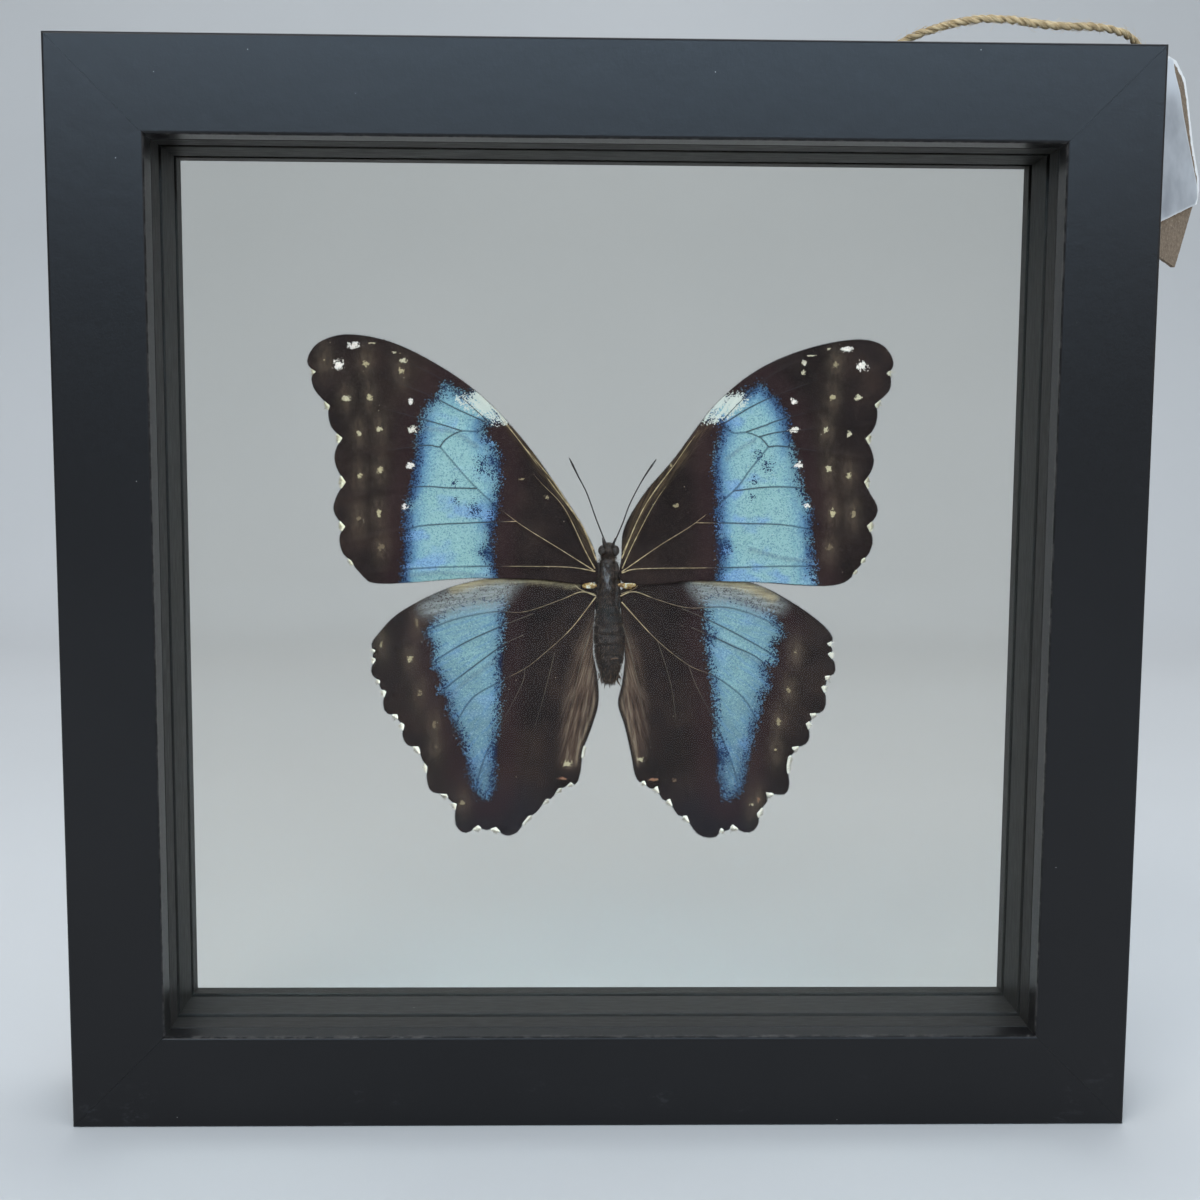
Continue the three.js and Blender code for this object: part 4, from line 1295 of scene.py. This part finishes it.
BODY_LINE = smooth(BODY_PROFILE, 0.3)
BODY_LINE = BODY_LINE[np.argsort(BODY_LINE[:, 2])]


def body_at(z):
    """The body's half width and its middle's x at a height."""
    return np.interp(z, BODY_LINE[:, 2], BODY_LINE[:, 0]), np.interp(z, BODY_LINE[:, 2], BODY_LINE[:, 1])


def make_body(skin, eye, hair):
    """Head, thorax and jointed abdomen in one form, with eyes, palps, wing roots, legs and hair."""
    rng = np.random.default_rng(5)
    shape = Shape()
    sides = 40
    zs = np.linspace(BODY_PROFILE[0][2], BODY_PROFILE[-1][2], 110)
    turn = np.linspace(0, 2 * math.pi, sides, endpoint=False)
    joint = bump(np.min(abs(zs[:, None] - np.array(ABDOMEN_JOINTS)), 1), JOINT_WIDTH)
    rows = []
    for z, groove in zip(zs, joint):
        radius, middle = body_at(z)
        radius *= 1 - 0.1 * groove
        lumps = [1 + 0.07 * noise.noise(Vector((math.cos(t) * 2, math.sin(t) * 2, z * 0.8))) for t in turn]
        x = middle + radius * np.cos(turn) * lumps
        deep = BODY_DEEP + BODY_DEPTH * radius * np.sin(turn) * lumps
        rows.append(np.stack([x, deep, np.full(sides, z)], 1))
    shape.add(np.concatenate(rows), lofted(len(zs), sides), joint=np.repeat(joint, sides))
    for place in EYES:
        add_ball(shape, place, EYE_RADII, slot=1)
    for side in (-1, 1):
        palp = smooth([(BODY_X + side * x, deep, z) for x, deep, z in PALP], 0.2)
        shape.tube(palp, np.linspace(0.5, 0.08, len(palp)), slot=0)
        add_wing_roots(shape, side)
        add_legs(shape, side)
    add_hairs(shape, rng)
    return ride(shape.make("butterfly_body", [skin, eye, hair]), "body_hair", "body")


def add_ball(shape, centre, radii, slot, rows=14, sides=24):
    """A closed rounded form."""
    points, faces = [np.array([centre])], []
    tilt = np.linspace(0, math.pi, rows + 2)[1:-1]
    turn = np.linspace(0, 2 * math.pi, sides, endpoint=False)
    for t in tilt:
        ring = np.stack([np.sin(t) * np.cos(turn), np.sin(t) * np.sin(turn), np.full(sides, np.cos(t))], 1)
        points.append(centre + ring * radii)
    points[0] = np.array([centre]) + [[0, 0, radii[2]]]
    points.append(np.array([centre]) - [[0, 0, radii[2]]])
    last = 1 + rows * sides
    for i in range(sides):
        j = (i + 1) % sides
        faces.append((0, 1 + i, 1 + j))
        faces.append((last, last - sides + j, last - sides + i))
        for row in range(rows - 1):
            start = 1 + row * sides
            faces.append((start + i, start + sides + i, start + sides + j, start + j))
    shape.add(np.concatenate(points), faces, slot)


def add_wing_roots(shape, side):
    """The dark lobes where the wings join the thorax."""
    for reach, deep, z, radii in ROOT_LOBES:
        add_ball(shape, (0.85 + side * reach, deep, z), radii, slot=0)


def add_legs(shape, side):
    """Two of the four walking legs, folded against the back of the thorax."""
    for leg in LEGS:
        path = smooth([(BODY_X + side * x, deep, z) for x, deep, z in leg], 0.4)
        shape.tube(path, np.linspace(0.32, 0.1, len(path)), sides=7, slot=0)


def add_hairs(shape, rng):
    """Short hair on head, thorax and abdomen, and the tuft at its tip."""
    for _ in range(BODY_HAIRS):
        z = rng.uniform(90.6, 120.8)
        turn = rng.uniform(0, 2 * math.pi)
        thorax = 109 < z < 118
        radius, middle = body_at(z)
        out = np.array([math.cos(turn), math.sin(turn), 0])
        root = np.array([middle, BODY_DEEP, z]) + out * [radius, BODY_DEPTH * radius, 0] * 0.97
        droop = -1.3 if not thorax else rng.uniform(-1.0, 0.3)
        way = out * rng.uniform(0.25, 0.6) + [0, 0, droop] + rng.normal(0, 0.25, 3)
        way /= np.linalg.norm(way)
        length = rng.uniform(0.9, 1.7) if thorax else rng.uniform(0.5, 1.0)
        shape.spike(root, root + way * length, 0.05, slot=2, shade=rng.uniform(0, 1) ** 2.2)
    for _ in range(TIP_HAIRS):
        root = np.array([1.4, BODY_DEEP, 92.2]) + rng.normal(0, 0.8, 3) * [1.5, 1, 0.7]
        tip = root + [rng.normal(0, 0.45), rng.normal(0, 0.4), -rng.uniform(0.7, 1.9)]
        shape.spike(root, tip, rng.uniform(0.08, 0.24), slot=2, shade=rng.choice([0.1, 0.3, 0.6, 1.6]))
    dash = smooth([(1.7, 17.95, 96.2), (2.5, 17.95, 96.4), (3.2, 18.1, 96.35)], 0.2)
    shape.tube(dash, 0.13, sides=6, slot=2, shade=3.0)


ANTENNAE = {
    "antenna_left": [
        (0.6, 19.4, 120.7), (-1.5, 18.9, 125.9), (-3.6, 18.6, 131.6),
        (-5.5, 18.4, 135.3), (-7.4, 18.2, 139.1),
    ],
    "antenna_right": [
        (2.2, 19.4, 120.9), (4, 18.9, 125.2), (5.6, 18.6, 129.6),
        (8.3, 18.4, 134.8), (11, 18.2, 138.9),
    ],
}


def make_antennae(look):
    """Thin beaded feelers, each with a small club at its tip."""
    for node, route in ANTENNAE.items():
        path = smooth(route, 0.12)
        share = along(path) / along(path)[-1]
        club = np.interp(share, [0, 0.06, 0.7, 0.92, 1], [0.22, 0.15, 0.13, 0.22, 0.1])
        beads = 1 + 0.12 * np.sin(2 * math.pi * along(path) / 0.5)
        shape = Shape()
        shape.tube(path, club * beads, sides=8)
        ride(shape.make(f"{node}_beaded", [look]), "antenna", node)


GLUE_REACH = {-1: 0.4, 1: 1.2}  # how far each dab runs in to the thorax


def half_box(node):
    """A CAD node's middle and half its size, in mm."""
    low, high = box_mm(node)
    return (low + high) / 2, (high - low) / 2


def make_dab(look, node, side):
    """A drop of glue at a wing's base, bent and lumpy, which runs in to the thorax."""
    middle, half = half_box(node)
    shape = Shape()
    add_ball(shape, tuple(middle), tuple(half * 0.96), 0, rows=12, sides=24)
    points = shape.points[0]
    bend = 0.3 * ((points[:, 0] - middle.x) / half.x) ** 2
    points[:, 2] += bend * (1 if side > 0 else -0.4)
    inner = side * (points[:, 0] - middle.x) < 0
    points[inner, 0] += (points[inner, 0] - middle.x) * (GLUE_REACH[side] / half.x)
    for point in points:
        point += 0.12 * noise.noise_vector(Vector(point) * 1.3)
    ride(shape.make(f"{node}_drop", [look]), "glue", node)


def make_pad(look, node):
    """The pad of glue behind the body, flat on the rear pane, with an uneven outline."""
    middle, half = half_box(node)
    shape = Shape()
    add_ball(shape, tuple(middle), (half.x, half.y * 1.3, half.z), 0)
    points = shape.points[0]
    low, high = box_mm(node)
    points[:, 1] = np.clip(points[:, 1], low.y, high.y)
    centre = np.array([middle.x, middle.z])
    for point in points:
        wobble = noise.noise(Vector((point[0] * 0.5, 0, point[2] * 0.5)))
        point[[0, 2]] = centre + (point[[0, 2]] - centre) * (0.95 + 0.12 * wobble)
    ride(shape.make("body_glue_pad", [look]), "glue", node)


def make_glue(look):
    noise.seed_set(7)  # noise_vector takes its seed from the clock otherwise
    make_dab(look, "glue_dab_left", -1)
    make_dab(look, "glue_dab_right", 1)
    make_pad(look, "body_glue")


# ------------------------------------------------------------------ tag, knot and staple

TAG_HINGE = (110.9, 8.2)
TAG_TURN = math.pi / 4
HOLE = (1.5, 214)
HOLE_RADIUS = 0.75
# Corners as distance from the hinge line and height, the near side's place in the tag, and thickness
LEAVES = {
    "tag_card": (
        [
            (-0.2, 186.9), (20.9, 193.6), (21.8, 196.5), (21.4, 199.2), (17.8, 206), (14.8, 213.4),
            (12.4, 218.1), (7.6, 221), (4, 221.3), (-0.2, 219.2),
        ],
        -0.4,
        0.8,
    ),
    "tag_label": (
        [
            (0.1, 187.4), (18.8, 193.2), (19.9, 194.7), (19.5, 197.2), (15.7, 203.4), (11.4, 210.4),
            (9.1, 214.8), (6.2, 218.3), (5, 220.6), (3.4, 220.7), (0.1, 218.9),
        ],
        -0.9,
        0.16,
    ),
    "tag_back_card": (
        [(0.6, 182.5), (6.6, 181.2), (13.7, 179.8), (21.6, 193.9), (9, 204), (0.6, 202)],
        0.7,
        0.8,
    ),
}


def tag_place(along_x, near, z):
    """A place in the tag as [x, deep, z]."""
    c, s = math.cos(TAG_TURN), math.sin(TAG_TURN)
    return (TAG_HINGE[0] + along_x * c - near * s, TAG_HINGE[1] + along_x * s + near * c, z)


def make_leaf(node, look, slot):
    """A thin leaf with slightly ragged edges, softly curled, with the hole for the twine."""
    corners, near, thickness = LEAVES[node]
    ring = np.concatenate([smooth([a, b], 0.4)[:-1] for a, b in zip(corners, corners[1:] + corners[:1])])
    middle = ring.mean(0)
    ragged = 0.12 if slot == "card" else 0.02
    pull = np.array([noise.noise(Vector((x * 1.3, z * 1.3, 5.0))) for x, z in ring]) * ragged + ragged
    ring = ring - (ring - middle) / np.hypot(*(ring - middle).T)[:, None] * pull[:, None]
    points, quads = membrane(ring)
    if node != "tag_back_card":
        quads = quads[np.hypot(*(points[quads].mean(1) - HOLE).T) > HOLE_RADIUS]
        for a in {a for side in open_sides(quads) for a in side}:
            away = points[a] - HOLE
            if np.hypot(*away) < HOLE_RADIUS + 0.5:
                points[a] = HOLE + away / np.hypot(*away) * (HOLE_RADIUS + 0.1)
    curl = 0.1 * np.sin(points[:, 1] * 0.16) * (1 if slot == "card" else 0.6)
    layers = (near + curl, near + curl + thickness)
    front, back = (np.array([tag_place(x, c, z) for (x, z), c in zip(points, layer)]) for layer in layers)
    values = {
        "edge": np.clip(1 - nearest(points, *segments_of(ring, True))[0] / 1.3, 0, 1),
        "torn": np.full(len(points), float(node == "tag_card")),
    }
    shape = Shape()
    shape.sheet(front, back, quads, (0, 0), values, values)
    return ride(shape.make(node + "_leaf", [look], crease=50), slot, node)


def add_knot_strand(shape, path, radius, rng):
    """A strand of the knot with its fibres."""
    shape.tube(path, radius * (1 + 0.08 * np.sin(along(path) * 2.6)), sides=10, shade=0.4)
    a, b = frames(path)
    for _ in range(int(len(path) * 0.9)):
        start = rng.integers(0, len(path) - 8)
        part = slice(start, start + 8)
        turn = along(path)[part] * 1.4 + rng.uniform(0, 6.3)
        out = np.cos(turn)[:, None] * a[part] + np.sin(turn)[:, None] * b[part]
        shape.tube(path[part] + (radius + 0.02) * out, 0.05, sides=3, shade=rng.uniform(0.2, 1))


def make_knot(jute):
    """The twine's end behind the card: an overhand knot, a thin ply through the hole and a frayed tail."""
    rng = np.random.default_rng(23)
    end = np.array(KNOT_AT)
    shape = Shape()
    turns = np.linspace(0, 4.2 * math.pi, 60)
    coil = np.stack([0.62 * np.cos(turns), 0.85 * np.sin(turns), 0.45 - turns * 0.13], 1)
    coil = coil + end + [0, -0.1, -0.4]
    tail = coil[-1] + np.array([(0.1, 0.6, -0.8), (0.2, 0.9, -2), (0, 0.8, -3.4)])
    add_knot_strand(shape, smooth([end + [0, 0.2, 0.9], *coil[::6], *tail], 0.2), 0.48, rng)
    through = [(HOLE[0], 2.6), (HOLE[0], 1.0), (HOLE[0] - 0.05, -0.7), (HOLE[0] - 0.5, -1.3), (0.1, -1.25)]
    round_edge = [(-0.55, -0.6), (-0.6, 0.4), (0.2, 1.3), (1.2, 2.6)]
    rise = np.linspace(0, 1.2, len(through + round_edge))
    loop = [tag_place(x, near, HOLE[1] - 0.2 + z) for (x, near), z in zip(through + round_edge, rise)]
    add_knot_strand(shape, smooth(loop, 0.2), 0.26, rng)
    for _ in range(26):
        root = tail[-1] + rng.normal(0, 0.16, 3)
        tip = root + [rng.uniform(-0.5, 0.7), rng.uniform(-0.4, 0.8), -rng.uniform(0.4, 2.0)]
        shape.spike(root, tip, 0.05, shade=rng.uniform(0.4, 1))
    return ride(shape.make("twine_knot", [jute]), "jute")


def make_staple(look):
    """The bent wire that holds the twine to the back of the top rail."""
    low, high = box_mm("twine_staple")
    wire = (high.z - low.z) / 2
    z = (low.z + high.z) / 2
    left, right, back = low.x + wire, high.x - wire, high.y - wire
    bend = 0.7
    corner = 0.2 * bend
    half = [(0, low.y), (0, back - bend), (corner, back - corner), (bend, back)]
    route = [(left + x, deep, z) for x, deep in half] + [(right - x, deep, z) for x, deep in half[::-1]]
    shape = Shape()
    shape.tube(smooth(route, 0.2), wire * 0.96, sides=10)
    return ride(shape.make("staple", [look], crease=50), "steel_wire", "twine_staple")


def make_tag(jute):
    card = rough_card()
    leaves = [
        make_leaf("tag_card", card, "card"),
        make_leaf("tag_label", label_paper(), "label_paper"),
        make_leaf("tag_back_card", card, "card"),
    ]
    return [*leaves, make_knot(jute), make_staple(staple_wire())]


# ------------------------------------------------------------------ studio

FRONT_LIGHT = (132, 129, 126)
SIDE_LIGHT = (172, 174, 176)
TOP_LIGHT = (200, 208, 220)


def make_world():
    """Soft pale light from all round, dimmer from the room in front, cooler and brighter from above."""
    world = bpy.data.worlds.new("studio")
    bpy.context.scene.world = world
    world.use_nodes = True
    nodes = Nodes(world.node_tree)
    background = next(n for n in world.node_tree.nodes if n.type == "BACKGROUND")
    way = nodes.node("ShaderNodeTexCoord", output="Generated")
    deep, height = (nodes.node("ShaderNodeSeparateXYZ", {0: way}, output=axis) for axis in (1, 2))
    shade = nodes.mix(nodes.rise(deep, -0.85, 0.1), FRONT_LIGHT, SIDE_LIGHT)
    shade = nodes.mix(nodes.rise(height, 0.15, 0.9), shade, TOP_LIGHT)
    nodes.put(background.inputs["Color"], shade)


BEND_RADIUS = 0.35  # of the floor where it turns up behind, in metres
FLOOR_HALF = 4000  # half the floor's width, in mm


def make_stage():
    """A pale floor that curves up behind."""
    turns = np.linspace(0, 1.5, 14)
    bend = [(0.75 + BEND_RADIUS * math.sin(t), BEND_RADIUS - BEND_RADIUS * math.cos(t)) for t in turns]
    run = [(-1.2, 0.0), (0.5, 0.0), *bend, (1.14, 3.0)]
    shape = Shape()
    points = [(x, y / MM - FRONT, z / MM) for y, z in run for x in (-FLOOR_HALF, FLOOR_HALF)]
    shape.add(points, [(2 * i, 2 * i + 1, 2 * i + 3, 2 * i + 2) for i in range(len(run) - 1)])
    floor = shape.make("studio_floor", [studio_floor()])


LIT_PLACE = (0, 0, 0.11)  # where the lamps point, in metres


def area_light(name, at, size, power, shade):
    data = bpy.data.lights.new(name, "AREA")
    data.shape = "RECTANGLE"
    data.size, data.size_y = size
    data.energy, data.color = power, shade
    light = bpy.data.objects.new(name, data)
    bpy.context.collection.objects.link(light)
    light.location = at
    light.rotation_euler = (Vector(LIT_PLACE) - Vector(at)).to_track_quat("-Z", "Y").to_euler()


def make_lights():
    area_light("key", (-0.5, -0.75, 0.95), (0.6, 0.6), 4.6, (1.0, 0.975, 0.94))
    area_light("fill", (0.75, -0.6, 0.5), (0.7, 0.7), 1.6, (1.0, 0.98, 0.96))
    area_light("top", (0.1, 0.35, 1.1), (0.7, 0.7), 4.6, (0.92, 0.96, 1.0))
    area_light("glow", (0, -1.15, 0.57), (1.4, 0.08), 9.5, (0.55, 0.77, 1.0))
    bpy.context.scene.view_settings.view_transform = "Standard"


# ------------------------------------------------------------------ all pieces

jute = fibre("jute", (132, 106, 72), (232, 208, 164), 0.85)
twine, twine_path = make_twine(jute)
tag_pieces = make_tag(jute)
tuple(to_row(TWINE_ROUTE[0])[0])
float(along(twine_path)[-1]) * MM
make_frame()
make_wings()
make_body(body_skin(), insect_eye(), fibre("body_hair", (17, 11, 9), (106, 82, 66)))
make_antennae(chitin())
make_glue(amber_glue_painted_gleams())
make_stage()
make_world()
make_lights()
